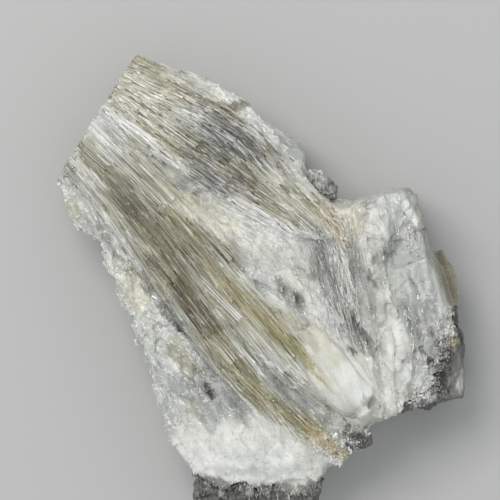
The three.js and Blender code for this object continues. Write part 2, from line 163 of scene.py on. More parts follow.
def headingAt(flat, reach=4.0, batch=8000):
    # direction of the grain, seen from above, at points in mm
    result = np.zeros((len(flat), 2))
    for start in range(0, len(flat), batch):
        squared = ((flat[start : start + batch, None] - guidePlaces[None]) ** 2).sum(axis=2)
        weight = np.exp(-(squared - squared.min(axis=1)[:, None]) / (2 * reach**2))
        result[start : start + batch] = weight @ guideHeadings
    return unit(result)


def sheafPlace(flat, sheaf, count=40):
    # how far along a sheaf points lie, in mm, and where across it, from -1 to 1 between its side lines;
    # then the sheaf's length and mean half width
    sideA, sideB = resample(sheaf["sideA"], count), resample(sheaf["sideB"], count)
    middle = (sideA + sideB) / 2
    halfWidth = np.linalg.norm(sideA - sideB, axis=1) / 2
    step = np.diff(middle, axis=0)
    length = np.linalg.norm(step, axis=1)
    reached = np.concatenate([[0], np.cumsum(length)])
    nearest = np.full(len(flat), np.inf)
    along, across = np.zeros(len(flat)), np.zeros(len(flat))
    for i in range(count - 1):
        ahead = step[i] / length[i]
        offset = flat - middle[i]
        raw = offset @ ahead
        forward = np.clip(raw, 0, length[i])
        side = offset[:, 1] * ahead[0] - offset[:, 0] * ahead[1]
        distance = np.hypot(raw - forward, side)
        share = forward / length[i]
        wide = halfWidth[i] * (1 - share) + halfWidth[i + 1] * share
        closer = distance < nearest
        nearest = np.where(closer, distance, nearest)
        along = np.where(closer, reached[i] + raw, along)
        across = np.where(closer, side / wide, across)
    return along, across, reached[-1], halfWidth.mean()


def sheafCover(flat, sheaf, soft=0.12, startFade=1.5, endFade=3, endShare=0.6):
    # 1 inside a sheaf, falling to 0 just outside it; the fades are in mm
    along, across, total, _ = sheafPlace(flat, sheaf)
    inside = np.clip((1 + soft - np.abs(across)) / (2 * soft), 0, 1)
    ends = np.clip(along / startFade + 1, 0, 1) * np.clip((total - along) / endFade + endShare, 0, 1)
    return inside * ends


palette = {
    "white": toLinear(228, 228, 224),
    "snow": toLinear(214, 214, 209),
    "silk": toLinear(213, 213, 204),
    "cream": toLinear(210, 207, 190),
    "pearl": toLinear(194, 195, 190),
    "stone": toLinear(188, 189, 185),
    "fawn": toLinear(191, 181, 160),
    "ash": toLinear(158, 159, 155),
    "smoke": toLinear(112, 113, 108),
    "soot": toLinear(62, 62, 60),
    "tan": toLinear(181, 177, 155),
    "haze": toLinear(160, 156, 132),
    "olive": toLinear(130, 126, 102),
    "honey": toLinear(159, 150, 114),
    "gold": toLinear(158, 150, 106),
    "umber": toLinear(114, 105, 82),
    "amber": toLinear(150, 136, 94),
    "straw": toLinear(198, 187, 156),
    "clay": toLinear(104, 102, 97),
    "glass": toLinear(108, 109, 108),
    "sand": toLinear(178, 168, 144),
}

# from x, y to x, y, half width at either end (all mm), colour, strength; later ones lie over earlier
colourStrokes = [
    # left margin
    (-45.5, 25.1, -32.4, 4.9, 7.7, 7.7, "pearl", 0.9), (-32.4, 4.9, -16.9, -29.7, 8.9, 8.9, "pearl", 0.9),
    (-46.7, 28.7, -43.7, 24.5, 2.0, 1.8, "ash", 0.4), (-47.9, 23.3, -46.7, 21.5, 1.2, 1.2, "silk", 0.8),
    (-45.8, 19.1, -43.7, 15.0, 1.5, 1.3, "cream", 0.8), (-41.3, 19.7, -36.6, 15.6, 2.4, 2.4, "silk", 0.6),
    (-38.4, 13.2, -32.4, 6.0, 1.8, 1.3, "ash", 0.45), (-31.8, 9.6, -29.7, 2.2, 1.1, 1.0, "olive", 0.55),
    (-34.2, 1.3, -28.2, -3.5, 2.7, 2.7, "cream", 0.85), (-35.4, 6.0, -33.6, -1.1, 1.3, 1.2, "silk", 0.8),
    # the smoke stroke at the end of the next line is painted shade in a pit between the lumps
    (-27.3, 0.1, -24.1, -4.7, 1.5, 1.2, "ash", 0.7), (-22.3, -5.3, -18.7, -10.6, 2.0, 1.2, "smoke", 0.8),
    (-30.6, -8.2, -27.3, -11.4, 1.8, 1.8, "stone", 0.7), (-25.3, -10.0, -20.5, -14.8, 2.4, 1.8, "silk", 0.5),
    (-20.5, -15.4, -16.9, -19.0, 1.5, 1.5, "ash", 0.4), (-13.9, -16.0, -11.0, -21.9, 1.2, 0.8, "ash", 0.9),
    (-16.9, -7.0, -14.5, -13.0, 1.1, 0.6, "smoke", 0.6), (-24.7, -24.9, -19.3, -27.3, 2.4, 2.4, "pearl", 0.5),
    (-18.1, -26.7, -15.1, -32.0, 1.1, 0.7, "tan", 0.5), (-19.0, -24.0, -4.5, -30.9, 3.4, 2.6, "ash", 0.6),
    (-12.9, -24.6, -11.4, -26.6, 0.9, 0.8, "soot", 0.9),
    # upper sheaf
    (-36.6, 51.3, 12.8, 15.6, 8.9, 5.4, "tan", 1.0), (-43.1, 30.5, -19.3, 10.8, 4.2, 4.2, "haze", 0.9),
    (-29.4, 54.9, -19.3, 49.5, 1.8, 2.4, "haze", 0.4), (-24.7, 51.9, -12.2, 43.5, 1.5, 1.8, "cream", 0.6),
    # the white stroke at the end of the next line and the snow stroke after it: pale fibres brightened by a
    # painted sheen, a highlight painted in
    (-35.1, 48.9, -24.7, 43.0, 1.3, 1.3, "cream", 0.7), (-37.5, 41.8, -26.4, 34.0, 1.3, 1.0, "white", 1.0),
    (-41.3, 40.0, -30.6, 30.5, 2.0, 1.5, "snow", 0.9), (-38.4, 45.6, -21.7, 33.4, 1.5, 1.3, "tan", 0.8),
    (-30.6, 43.0, -16.9, 33.4, 1.2, 1.2, "tan", 0.6), (-21.1, 45.9, -8.6, 40.6, 2.1, 2.0, "fawn", 0.9),
    (-16.9, 51.9, -11.0, 49.5, 1.3, 1.3, "silk", 0.8), (-14.5, 49.5, -2.6, 44.1, 2.1, 1.1, "silk", 0.95),
    (-9.2, 41.8, -2.6, 43.8, 1.3, 0.6, "umber", 0.75), (-9.8, 40.6, -7.4, 39.4, 1.3, 1.3, "umber", 0.7),
    (-12.2, 49.2, -9.2, 48.6, 0.6, 0.5, "olive", 0.5), (-19.3, 51.3, -18.1, 50.7, 0.7, 0.5, "smoke", 0.6),
    (-14.5, 40.0, 2.1, 29.9, 3.8, 3.0, "ash", 0.8), (-13.4, 38.8, 0.9, 30.0, 2.8, 2.5, "smoke", 0.9),
    (-16.9, 33.4, -5.0, 24.5, 2.6, 2.1, "ash", 0.9), (-10.0, 37.6, -6.2, 35.2, 1.4, 1.1, "soot", 0.45),
    (0.3, 33.4, 3.6, 29.9, 1.4, 1.5, "umber", 0.75), (-18.1, 36.4, -13.4, 32.2, 1.2, 1.1, "umber", 0.6),
    (-20.5, 32.2, -8.6, 23.3, 1.3, 1.3, "haze", 0.8), (-18.1, 30.5, -12.2, 25.1, 0.5, 0.4, "soot", 0.5),
    (-6.2, 29.3, 1.5, 21.5, 1.5, 1.2, "olive", 0.95), (-2.6, 25.1, 0.9, 20.9, 1.0, 0.8, "umber", 0.6),
    (-5.0, 25.1, 0.9, 19.7, 0.8, 0.6, "ash", 0.5), (0.9, 23.3, 12.8, 13.2, 1.6, 1.4, "cream", 0.8),
    (3.3, 25.1, 15.8, 17.4, 1.7, 1.4, "haze", 0.75), (11.1, 20.3, 17.6, 16.8, 1.3, 1.0, "olive", 0.7),
    (1.5, 20.3, 9.9, 13.2, 0.5, 0.4, "olive", 0.8), (-3.5, 41.0, 3.0, 37.8, 1.7, 1.4, "snow", 0.9),
    (-9.2, 42.0, -3.6, 42.6, 1.4, 0.9, "umber", 0.6), (-17.8, 42.4, -12.6, 39.8, 1.2, 0.9, "silk", 0.8),
    (-37.0, 43.5, -30.0, 40.5, 0.9, 0.8, "silk", 0.7), (-10.0, 31.5, 1.0, 21.5, 0.9, 0.9, "umber", 0.6),
    (2.1, 38.2, 8.7, 34.6, 2.1, 2.4, "pearl", 0.95), (6.9, 34.6, 10.5, 30.5, 1.5, 1.3, "ash", 0.6),
    (3.3, 28.1, 11.6, 23.3, 2.0, 1.8, "silk", 0.75), (9.3, 25.1, 17.6, 20.3, 1.3, 1.1, "silk", 0.6),
    (15.2, 16.8, 21.2, 10.8, 2.4, 2.4, "fawn", 0.95), (20.0, 17.4, 25.9, 4.9, 2.0, 1.5, "cream", 0.95),
    (-17.5, 34.5, -2.0, 22.5, 2.2, 2.0, "olive", 0.55), (-18.0, 34.0, -14.8, 31.5, 1.3, 1.2, "olive", 0.8),
    (-11.0, 34.2, -7.0, 31.4, 1.5, 1.2, "soot", 0.4), (-12.4, 25.0, -8.4, 22.4, 1.7, 1.5, "smoke", 0.9),
    (-8.6, 28.8, -1.0, 22.6, 1.6, 1.5, "umber", 0.7), (1.2, 31.6, 5.6, 28.6, 1.7, 1.4, "umber", 0.5),
    (-8.6, 40.4, -5.0, 38.2, 1.5, 1.3, "umber", 0.6), (5.2, 32.2, 9.0, 29.0, 1.6, 1.4, "ash", 0.5),
    (5.4, 21.2, 13.0, 14.6, 1.6, 1.4, "cream", 0.9), (-25.0, 25.5, -16.2, 19.2, 1.8, 1.6, "haze", 0.6),
    (-17.5, 35.0, -14.4, 29.6, 1.9, 1.8, "olive", 0.8), (-11.6, 33.8, -5.4, 28.2, 1.9, 1.7, "smoke", 0.6),
    (-18.8, 41.4, -15.2, 39.0, 1.5, 1.4, "silk", 0.9), (-30.5, 33.2, -24.5, 29.4, 1.7, 1.6, "tan", 0.6),
    (-25.5, 30.4, -20.5, 26.6, 1.7, 1.5, "stone", 0.7), (-12.5, 39.8, -6.5, 36.4, 1.5, 1.4, "smoke", 0.6),
    (-8.8, 36.6, -2.4, 32.6, 1.4, 1.2, "soot", 0.3),
    # white mass
    (-26.4, 31.0, -5.0, 15.6, 2.4, 1.8, "tan", 0.5), (-31.0, 32.0, -16.0, 19.5, 1.4, 1.3, "haze", 0.5),
    (-24.7, 29.9, -18.1, 25.1, 1.2, 0.8, "ash", 0.5), (-20.5, 24.5, -13.4, 22.1, 1.8, 1.2, "ash", 0.7),
    (-14.5, 25.1, -7.4, 22.1, 1.5, 1.2, "smoke", 0.7), (-21.1, 23.3, -18.1, 20.9, 0.8, 0.7, "olive", 0.4),
    # the soot stroke at the start of the next line is painted shade in a small pit
    (-15.1, 22.1, -13.1, 20.6, 0.6, 0.5, "soot", 0.7), (-20.5, 20.3, -5.0, 12.0, 2.1, 1.8, "cream", 0.9),
    (-13.4, 22.1, -2.6, 15.6, 1.5, 1.3, "silk", 0.8), (-8.6, 20.3, 2.1, 9.6, 2.1, 2.1, "silk", 0.8),
    (-0.9, 15.6, 11.1, 9.6, 3.0, 2.6, "snow", 0.95), (-5.0, 12.6, 6.9, 6.0, 1.8, 1.8, "silk", 0.8),
    (3.3, 9.0, 11.6, 4.9, 1.8, 2.1, "silk", 0.85), (-7.4, 7.8, 3.3, -1.7, 2.1, 1.8, "pearl", 0.9),
    (4.6, 0.0, 8.1, -3.5, 1.3, 1.3, "haze", 0.7), (-0.4, 1.8, 3.4, -1.2, 1.6, 1.5, "snow", 0.8),
    (9.3, 3.7, 12.2, 1.3, 0.8, 0.6, "ash", 0.6),
    # snow
    (-15.5, -35.0, 18.8, -39.2, 3.2, 3.6, "snow", 0.9), (-14.5, -39.2, 16.4, -41.6, 6.5, 4.8, "snow", 1.0),
    (-13.4, -42.2, -5.0, -44.0, 2.4, 2.4, "white", 0.8), (0.9, -42.8, 6.9, -39.2, 2.4, 2.4, "white", 0.7),
    (8.1, -38.0, 15.2, -44.5, 1.8, 1.8, "silk", 0.5), (-17.5, -31.5, -14.5, -34.4, 1.3, 1.3, "silk", 0.6),
    (-5.0, -29.1, 0.9, -32.0, 1.3, 1.0, "pearl", 0.6),
    # lower sheaves
    (-44.9, 34.6, -35.4, 25.1, 2.0, 1.8, "tan", 0.8), (-42.9, 30.2, -38.4, 24.3, 0.7, 0.7, "umber", 0.3),
    (-45.4, 31.5, -43.0, 27.5, 1.5, 1.3, "silk", 0.8), (-36.0, 27.5, -30.6, 23.3, 2.0, 2.0, "olive", 0.95),
    (-36.6, 23.3, -16.9, 2.5, 2.6, 3.6, "olive", 1.0), (-30.6, 20.3, -19.3, 4.9, 1.5, 1.8, "umber", 0.6),
    (-29.4, 9.4, -25.4, 4.6, 1.5, 1.5, "olive", 0.85), (-21.7, 15.6, -12.2, 7.2, 1.8, 1.8, "umber", 0.7),
    (-25.3, 7.2, -13.4, -4.7, 2.4, 2.4, "olive", 0.9), (-30.0, 9.5, -15.5, -12.5, 1.5, 1.6, "haze", 0.8),
    (-20.0, -0.2, -12.0, -10.4, 2.2, 2.9, "umber", 1.0), (-25.3, 0.1, -14.5, -12.4, 0.7, 0.6, "smoke", 0.5),
    (-31.2, 29.3, -21.7, 19.7, 2.0, 1.8, "cream", 0.85), (-28.8, 25.1, -22.9, 19.1, 1.2, 1.0, "silk", 0.5),
    (-32.4, 6.0, -25.3, -1.1, 1.0, 0.7, "haze", 0.5), (-12.2, -13.0, -0.9, -24.9, 2.7, 2.4, "honey", 0.85),
    (-6.8, -16.6, -0.3, -23.7, 0.8, 0.8, "umber", 0.4), (-8.6, -11.8, -5.0, -15.4, 1.1, 1.0, "olive", 0.7),
    (-1.6, -25.6, 10.6, -34.8, 2.8, 1.9, "honey", 1.0), (-0.3, -23.7, 4.5, -26.7, 0.8, 0.8, "cream", 0.5),
    (-9.2, -8.2, 0.3, -19.0, 0.7, 0.7, "olive", 0.8), (-11.8, -15.5, -3.6, -28.0, 1.2, 1.5, "olive", 0.8),
    (-13.0, -21.5, -5.4, -29.8, 2.0, 2.2, "ash", 0.85), (-15.2, -27.0, -12.0, -33.0, 2.0, 1.8, "ash", 0.6),
    (-20.8, -15.0, -16.4, -20.0, 2.2, 2.0, "haze", 0.5), (-22.4, -4.4, -17.4, -10.4, 1.5, 1.3, "ash", 0.6),
    (0.9, -21.3, 12.8, -33.2, 1.0, 0.6, "haze", 0.6), (9.6, -29.6, 15.4, -33.4, 1.3, 1.2, "haze", 0.8),
    (11.3, -33.5, 13.7, -35.6, 1.7, 1.7, "amber", 1.0), (13.4, -36.2, 19.6, -40.4, 1.8, 1.4, "straw", 0.9),
    (9.3, -35.6, 12.8, -39.2, 0.8, 0.5, "haze", 0.6),
    # yellow streak
    (-21.7, 17.4, -7.4, 7.2, 1.5, 1.5, "honey", 0.8), (-16.9, 12.0, -8.6, 4.9, 0.7, 0.6, "cream", 0.9),
    (-13.4, 12.0, -5.0, 4.9, 1.3, 1.2, "olive", 0.5), (-16.6, 12.0, -12.0, 7.2, 1.7, 1.6, "olive", 0.8),
    (-15.7, 4.9, 3.3, -8.8, 2.7, 2.4, "honey", 0.95), (-5.0, -3.5, 5.7, -14.2, 1.8, 1.8, "honey", 0.9),
    (3.3, -9.4, 14.5, -22.0, 2.0, 1.1, "gold", 0.85), (14.0, -21.5, 18.5, -26.0, 0.9, 0.3, "honey", 0.7),
    (12.8, -20.1, 20.2, -27.3, 0.5, 0.2, "cream", 0.9), (-19.0, 12.0, -13.5, 1.5, 1.2, 1.0, "olive", 0.6),
    (-14.6, 1.5, -5.0, -10.0, 1.4, 1.2, "cream", 0.85), (-17.5, 3.7, -14.5, 1.3, 0.6, 0.6, "snow", 0.6),
    (-5.0, -8.8, 3.3, -19.0, 1.3, 1.1, "haze", 0.7), (0.3, -15.4, 6.9, -21.3, 2.4, 1.8, "snow", 0.85),
    (6.9, -21.3, 15.8, -27.9, 2.4, 1.8, "cream", 0.7), (2.1, -21.3, 9.3, -28.5, 2.1, 2.1, "ash", 0.7),
    (9.3, -26.1, 16.4, -32.6, 1.5, 1.2, "ash", 0.7), (6.0, -21.2, 7.2, -22.0, 0.5, 0.5, "soot", 0.8),
    # lobe
    (11.4, -4.6, 15.8, -10.2, 2.0, 2.2, "snow", 0.85), (6.9, -7.6, 13.6, -15.6, 1.9, 1.6, "tan", 0.7),
    (14.6, -13.0, 24.1, -24.9, 4.2, 4.8, "silk", 0.9), (13.0, -11.0, 20.0, -19.5, 1.6, 1.4, "cream", 0.7),
    (21.2, -20.7, 25.3, -26.7, 3.0, 2.8, "white", 0.9), (15.2, -26.1, 23.0, -30.3, 1.5, 1.1, "pearl", 0.7),
    # the ash stroke at the start of the next line is painted shadow in the wedge below the lobe
    (25.0, -27.2, 29.2, -30.0, 1.6, 1.5, "ash", 0.7), (6.0, -2.4, 9.6, -6.4, 1.7, 1.6, "ash", 0.8),
    (4.5, -0.4, 9.6, -4.8, 1.1, 1.3, "ash", 0.9), (5.6, -0.8, 9.8, -5.0, 0.5, 0.9, "haze", 0.4),
    # painted shade in the dark gap at the small recess
    (8.2, -3.0, 9.0, -4.2, 0.4, 0.5, "soot", 0.6),
    # valley
    (14.6, 10.2, 18.4, -4.6, 3.2, 2.6, "ash", 0.95), (14.0, -6.0, 18.8, -11.2, 1.7, 1.7, "snow", 0.95),
    (12.8, 9.0, 15.2, 1.9, 1.5, 1.8, "smoke", 0.5), (17.0, 9.6, 20.0, -5.9, 0.8, 0.6, "pearl", 0.5),
    (21.2, 9.6, 27.1, -15.4, 1.7, 1.8, "ash", 0.8), (21.8, 5.5, 23.6, -3.5, 1.3, 1.2, "smoke", 0.45),
    # the smoke stroke at the end of the next line and the one at the start of the line after are painted
    # shade along the recess's edge and floor
    (21.4, -11.0, 24.8, -14.2, 2.2, 1.7, "ash", 0.9), (20.0, -15.4, 22.4, -16.2, 0.7, 0.5, "smoke", 0.8),
    (22.0, -8.4, 26.6, -14.3, 0.6, 0.5, "smoke", 0.95), (16.6, -9.0, 19.2, -14.6, 2.0, 2.0, "snow", 0.85),
    # block
    (28.9, 20.3, 37.8, -1.1, 5.4, 6.0, "stone", 0.9), (36.6, -1.1, 42.6, -16.6, 5.4, 4.8, "stone", 0.9),
    # the ash stroke at the end of the next line is painted shade in the hollow beside the cream ridge
    (25.9, -1.1, 30.7, -19.0, 3.0, 3.6, "pearl", 0.5), (24.0, 7.0, 28.6, -8.0, 1.6, 1.8, "ash", 0.4),
    (21.5, 17.0, 24.0, 12.0, 2.0, 1.7, "cream", 0.95), (24.0, 12.0, 25.8, 3.6, 1.7, 1.0, "snow", 0.9),
    # the smoke stroke at the start of the next line is painted shade in that hollow
    (25.7, 2.0, 27.6, -1.0, 0.4, 0.4, "smoke", 0.7), (25.5, 18.5, 27.2, 16.8, 1.1, 1.0, "silk", 0.8),
    # the ash stroke at the end of the next line and both on the line after are painted shade along the
    # diagonal hollow between ridge and slab
    (28.0, 14.0, 28.6, 9.5, 1.0, 0.8, "snow", 0.5), (31.6, 16.0, 31.4, 11.0, 1.2, 1.1, "ash", 0.9),
    (27.2, 5.4, 32.4, 9.6, 1.3, 1.4, "ash", 0.9), (29.0, 4.5, 28.6, -0.5, 1.1, 1.0, "ash", 0.6),
    (28.2, -0.8, 28.5, -3.6, 0.7, 0.7, "snow", 0.6), (34.8, 18.6, 37.0, 14.0, 1.2, 1.2, "snow", 0.95),
    (34.6, 12.2, 35.8, 10.6, 0.9, 0.9, "snow", 0.7), (36.5, 9.0, 40.0, 1.0, 1.4, 1.4, "pearl", 0.6),
    (31.5, -4.0, 40.0, -6.0, 2.2, 2.0, "ash", 0.2), (35.2, 2.0, 36.0, 0.0, 0.5, 0.5, "ash", 0.7),
    # the smoke stroke at the start of the next line is painted shade in a crease
    (36.0, 0.0, 37.6, -3.0, 0.5, 0.4, "smoke", 0.6), (38.6, -2.4, 39.4, -2.8, 0.9, 0.8, "snow", 0.6),
    (32.0, -9.8, 31.8, -18.2, 2.1, 2.4, "snow", 0.95), (36.6, -9.4, 37.6, -14.4, 1.3, 1.2, "ash", 0.5),
    (38.0, -9.2, 43.6, -9.0, 0.9, 0.9, "silk", 0.8), (40.4, -10.4, 42.2, -14.4, 0.5, 0.5, "smoke", 0.8),
    (38.2, -15.0, 41.4, -19.8, 0.5, 0.5, "soot", 0.6), (41.4, -16.0, 43.2, -20.4, 1.0, 1.0, "ash", 0.8),
    (37.2, -18.0, 37.8, -25.6, 2.3, 2.7, "snow", 0.9), (31.0, -20.6, 35.2, -22.6, 1.9, 1.9, "snow", 0.8),
    (30.5, -26.0, 34.0, -28.6, 1.8, 1.8, "white", 0.7), (26.6, -14.8, 28.4, -24.3, 0.9, 0.8, "ash", 0.5),
    (41.6, 11.0, 47.4, -5.0, 2.6, 2.4, "olive", 0.9), (43.0, 6.5, 45.4, -2.0, 1.0, 0.9, "umber", 0.7),
    # the strokes from here to the end of this section paint the right side's dark edge: partly its own
    # olive-grey, partly painted shade of a side turned from the light
    (37.4, 22.5, 39.6, 13.0, 1.1, 1.0, "haze", 0.9), (39.4, 13.0, 40.6, 5.0, 0.9, 0.8, "ash", 0.8),
    (35.6, 22.6, 37.0, 19.6, 1.1, 1.1, "ash", 0.9),
    # last touches, light then dark
    (-41.0, 27.0, -38.4, 23.2, 1.3, 1.1, "silk", 0.8), (-37.5, 31.5, -33.5, 27.5, 1.3, 1.1, "silk", 0.7),
    (3.0, 24.4, 9.0, 19.4, 1.3, 1.2, "cream", 0.9), (10.0, 12.2, 13.0, 10.6, 1.2, 1.2, "snow", 0.9),
    (14.4, -6.4, 16.8, -9.8, 1.6, 1.6, "white", 0.9), (-25.8, -8.2, -23.4, -10.8, 1.5, 1.4, "snow", 0.9),
    (-1.5, 40.5, 1.5, 38.8, 1.2, 1.2, "white", 0.9), (42.5, -7.5, 44.5, -11.0, 1.6, 1.4, "snow", 0.8),
    (-18.6, 21.3, -16.4, 19.6, 1.3, 1.2, "tan", 0.7), (-18.8, 9.6, -14.4, 4.8, 1.4, 1.3, "umber", 0.8),
    (-17.4, 31.6, -9.4, 23.2, 1.3, 1.3, "smoke", 0.75), (-9.4, 29.4, -1.4, 22.6, 1.4, 1.3, "umber", 0.75),
    (-13.0, 38.6, -8.0, 36.4, 1.2, 1.4, "smoke", 0.45), (4.2, 22.2, 7.4, 19.8, 1.2, 1.1, "silk", 0.8),
    # the smoke stroke at the end of the next line is painted shade in the recess
    (12.4, 8.0, 12.2, 2.0, 0.9, 0.9, "ash", 0.8), (21.2, -9.4, 22.4, -12.2, 1.0, 0.9, "smoke", 0.6),
    # the ash stroke at the end of the next line and the haze stroke after it lie on that dark edge, own
    # olive-grey and painted shade
    (-7.5, -24.0, -5.8, -28.5, 1.3, 1.3, "smoke", 0.45), (36.0, 23.4, 38.4, 13.5, 1.9, 0.8, "ash", 0.85),
    (36.4, 23.0, 38.8, 12.5, 1.2, 0.6, "haze", 0.5), (-9.6, 40.6, -5.8, 38.6, 1.4, 1.3, "umber", 0.6),
    (-12.4, 24.2, -8.6, 21.9, 1.5, 1.3, "smoke", 0.6), (43.6, 7.0, 45.8, -3.0, 1.6, 1.5, "umber", 0.5),
    (0.8, 32.0, 3.8, 28.8, 1.6, 1.5, "umber", 0.7), (-6.6, 34.6, -4.0, 32.4, 1.2, 1.2, "ash", 0.5),
    # the ash stroke at the start of the next line lies on that dark edge too, own grey and painted shade
    (34.6, 23.5, 36.6, 18.4, 1.5, 1.1, "ash", 0.85), (-12.4, 25.0, -9.0, 22.4, 1.5, 1.4, "soot", 0.35),
    (-16.4, 26.0, -13.0, 23.8, 1.2, 1.1, "smoke", 0.5), (-3.0, 25.6, 0.8, 21.8, 1.3, 1.2, "umber", 0.7),
    (-8.8, 41.0, -5.6, 38.8, 1.4, 1.3, "umber", 0.6), (-18.0, 35.0, -15.4, 32.6, 1.4, 1.3, "umber", 0.5),
    (-5.6, 29.4, -1.6, 26.0, 1.4, 1.3, "umber", 0.5), (-37.6, 20.0, -32.6, 14.4, 1.4, 1.4, "haze", 0.8),
    (-31.5, 50.0, -27.4, 47.4, 1.4, 1.4, "cream", 0.9), (-16.2, 11.6, -13.2, 8.6, 1.3, 1.2, "olive", 0.8),
    (-18.2, 6.2, -14.6, 0.6, 1.4, 1.4, "umber", 0.6), (-28.4, 7.8, -25.4, 4.2, 1.2, 1.2, "umber", 0.7),
    (-34.6, 10.6, -32.4, 7.8, 1.2, 1.2, "silk", 0.8), (-25.6, -8.4, -21.4, -10.2, 1.5, 1.2, "snow", 0.8),
    (9.6, -11.0, 12.8, -14.6, 1.4, 1.4, "tan", 0.6), (35.2, -19.2, 37.2, -21.8, 1.5, 1.5, "white", 0.6),
    # stains by the lower clay
    (-15.6, -47.4, -8.8, -48.0, 1.8, 1.8, "smoke", 0.85), (-2.4, -48.8, 6.4, -48.6, 1.3, 1.3, "smoke", 0.7),
    (10.4, -48.2, 14.0, -47.6, 1.7, 1.7, "smoke", 0.85),
]

# as above, but each ends square across the grain
squareStrokes = [
    (-43.5, 35.0, -36.2, 28.4, 1.9, 1.7, "haze", 0.6), (-32.5, 30.6, -21.7, 19.7, 2.1, 2.3, "haze", 0.9),
    # the white stroke at the start of the next line: pale fibres brightened by a painted sheen
    (-38.0, 42.8, -27.5, 34.8, 1.0, 0.9, "white", 0.6), (-22.5, 3.0, -11.0, -11.8, 2.2, 2.7, "umber", 0.85),
    (-20.0, -3.0, -13.0, -12.0, 0.5, 0.6, "soot", 0.3), (-16.5, 3.0, -5.4, -8.4, 1.6, 1.7, "haze", 0.6),
    (-12.4, -12.2, -7.5, -18.0, 1.6, 2.0, "tan", 0.6), (2.5, 23.4, 13.4, 13.8, 1.2, 1.3, "tan", 0.4),
]


def roundPlace(flat, x1, y1, x2, y2):
    # the share of a stroke's length at which each point lies, and its distance from the stroke's middle line
    line = np.array([x2 - x1, y2 - y1])
    offset = flat - np.array([x1, y1])
    share = np.clip(offset @ line / (line @ line), 0, 1)
    return share, np.linalg.norm(offset - share[:, None] * line, axis=1)


def squarePlace(flat, x1, y1, x2, y2):
    # a stroke's length, and the distance of each point down it and to its side
    line = np.array([x2 - x1, y2 - y1])
    length = np.linalg.norm(line)
    offset = flat - np.array([x1, y1])
    return length, offset @ line / length, np.abs(offset @ np.array([-line[1], line[0]])) / length


def strokeWeight(flat, stroke, edge, soft):
    # how strongly a stroke covers each point; edge and soft are parts of its half width
    share, distance = roundPlace(flat, *stroke[:4])
    width1, width2, _, strength = stroke[4:]
    return strength * np.clip((edge - distance / (width1 + (width2 - width1) * share)) / soft, 0, 1)


def paintedOver(tint, weight, colour):
    return tint + weight[:, None] * (np.array(colour) - tint)


# edges and softness are parts of a stroke's half width, cells and shifts are in mm
tintSettings = {
    "ground": "silk",
    "edge": 1.22, "soft": 0.42,
    "squareEdge": 1.1, "squareSoft": 0.2, "fadeIn": 0.4, "breakOff": 0.3,
    "runOutCell": (9.0, 0.8, 8.0), "runOut": 0.8,
    "wobbleCell": 2.0, "wobble": 0.3,
}


def tintAt(points, grain):
    # base colour of the crystals, from strokes whose edges run out along the grain
    own = tintSettings
    flat = points[:, :2]
    runOut = layeredNoise(grain, own["runOutCell"], 61) * np.clip(2.1 - np.abs(grain[:, 1]) * 0.02, 0, 3)
    wobble = np.column_stack([softNoise(points, own["wobbleCell"], seed) for seed in (67, 71)])
    moved = flat + headingAt(flat) * (own["runOut"] * runOut)[:, None] + own["wobble"] * wobble
    tint = np.tile(palette[own["ground"]], (len(points), 1))
    for stroke in colourStrokes:
        ends, reach = np.array([stroke[:2], stroke[2:4]]), 1.4 * max(stroke[4:6])
        near = (moved > ends.min(axis=0) - reach) & (moved < ends.max(axis=0) + reach)
        near = np.flatnonzero(near[:, 0] & near[:, 1])
        weight = strokeWeight(moved[near], stroke, own["edge"], own["soft"])
        tint[near] = paintedOver(tint[near], weight, palette[stroke[6]])
    for x1, y1, x2, y2, width1, width2, name, strength in squareStrokes:
        length, down, side = squarePlace(flat, x1, y1, x2, y2)
        share = down / length
        side = side / (width1 + (width2 - width1) * np.clip(share, 0, 1))
        weight = strength * np.clip(share / own["fadeIn"], 0, 1)
        weight *= np.clip((1 - share) * length / own["breakOff"], 0, 1)
        weight *= np.clip((own["squareEdge"] - side) / own["squareSoft"], 0, 1)
        tint = paintedOver(tint, weight, palette[name])
    return tint


def grainCoordinates(points):
    # along, across and depth in mm; across follows a sheaf's own spread
    flat = points[:, :2]
    slant = np.where(flat[:, 0] > 16, math.radians(-77), math.radians(-50))  # right and left of the valley
    along, across = turned(flat, -slant).T
    for sheaf in sheaves.values():
        down, side, total, halfWidth = sheafPlace(flat, sheaf)
        inside = (np.abs(side) < 1.1) & (down > -3) & (down < total + 2)
        along = np.where(inside, down, along)
        across = np.where(inside, side * halfWidth, across)
    return np.column_stack([along, across, points[:, 2]])


# the clean end of the sheaves: its direction, its distance, and from where on something is near it, in mm
cutEnd = {"outward": np.array([-0.840, 0.543]), "distance": 54.7, "near": 52}

# ovals on the front: x, y, half length and half width (mm), and turn (degrees)
ovals = {
    "lobe": (19.0, -21.5, 10.5, 5.8, -50),
    "snow": (-4, -43, 19, 9.5, -4),
    "sideFlake": (44.7, 2.0, 9.0, 4.5, -72),  # smooth flake at the right side
    # the dark edge is partly the side's own olive-grey, partly painted shade of a side turned from the light
    "cornerFlake": (37.4, 18.5, 5.5, 1.4, -75),  # dark edge above it
    "sunkNeedle": (11.9, -43.5, 3.4, 1.5, -36),  # a needle that sinks into the snow
}
snowByNeedle = {"level": 26.8, "slope": (-0.48, 0.25)}  # height (mm) and slope of the snow round the needle


def ovalWeight(flat, name, soft=0.35):
    # 1 inside an oval, falling softly to 0 at its rim
    x, y, halfLength, halfWidth, turn = ovals[name]
    u, v = turned(flat - np.array([x, y]), -math.radians(turn)).T
    return np.clip((1 + soft - np.hypot(u / halfLength, v / halfWidth)) / soft, 0, 1)


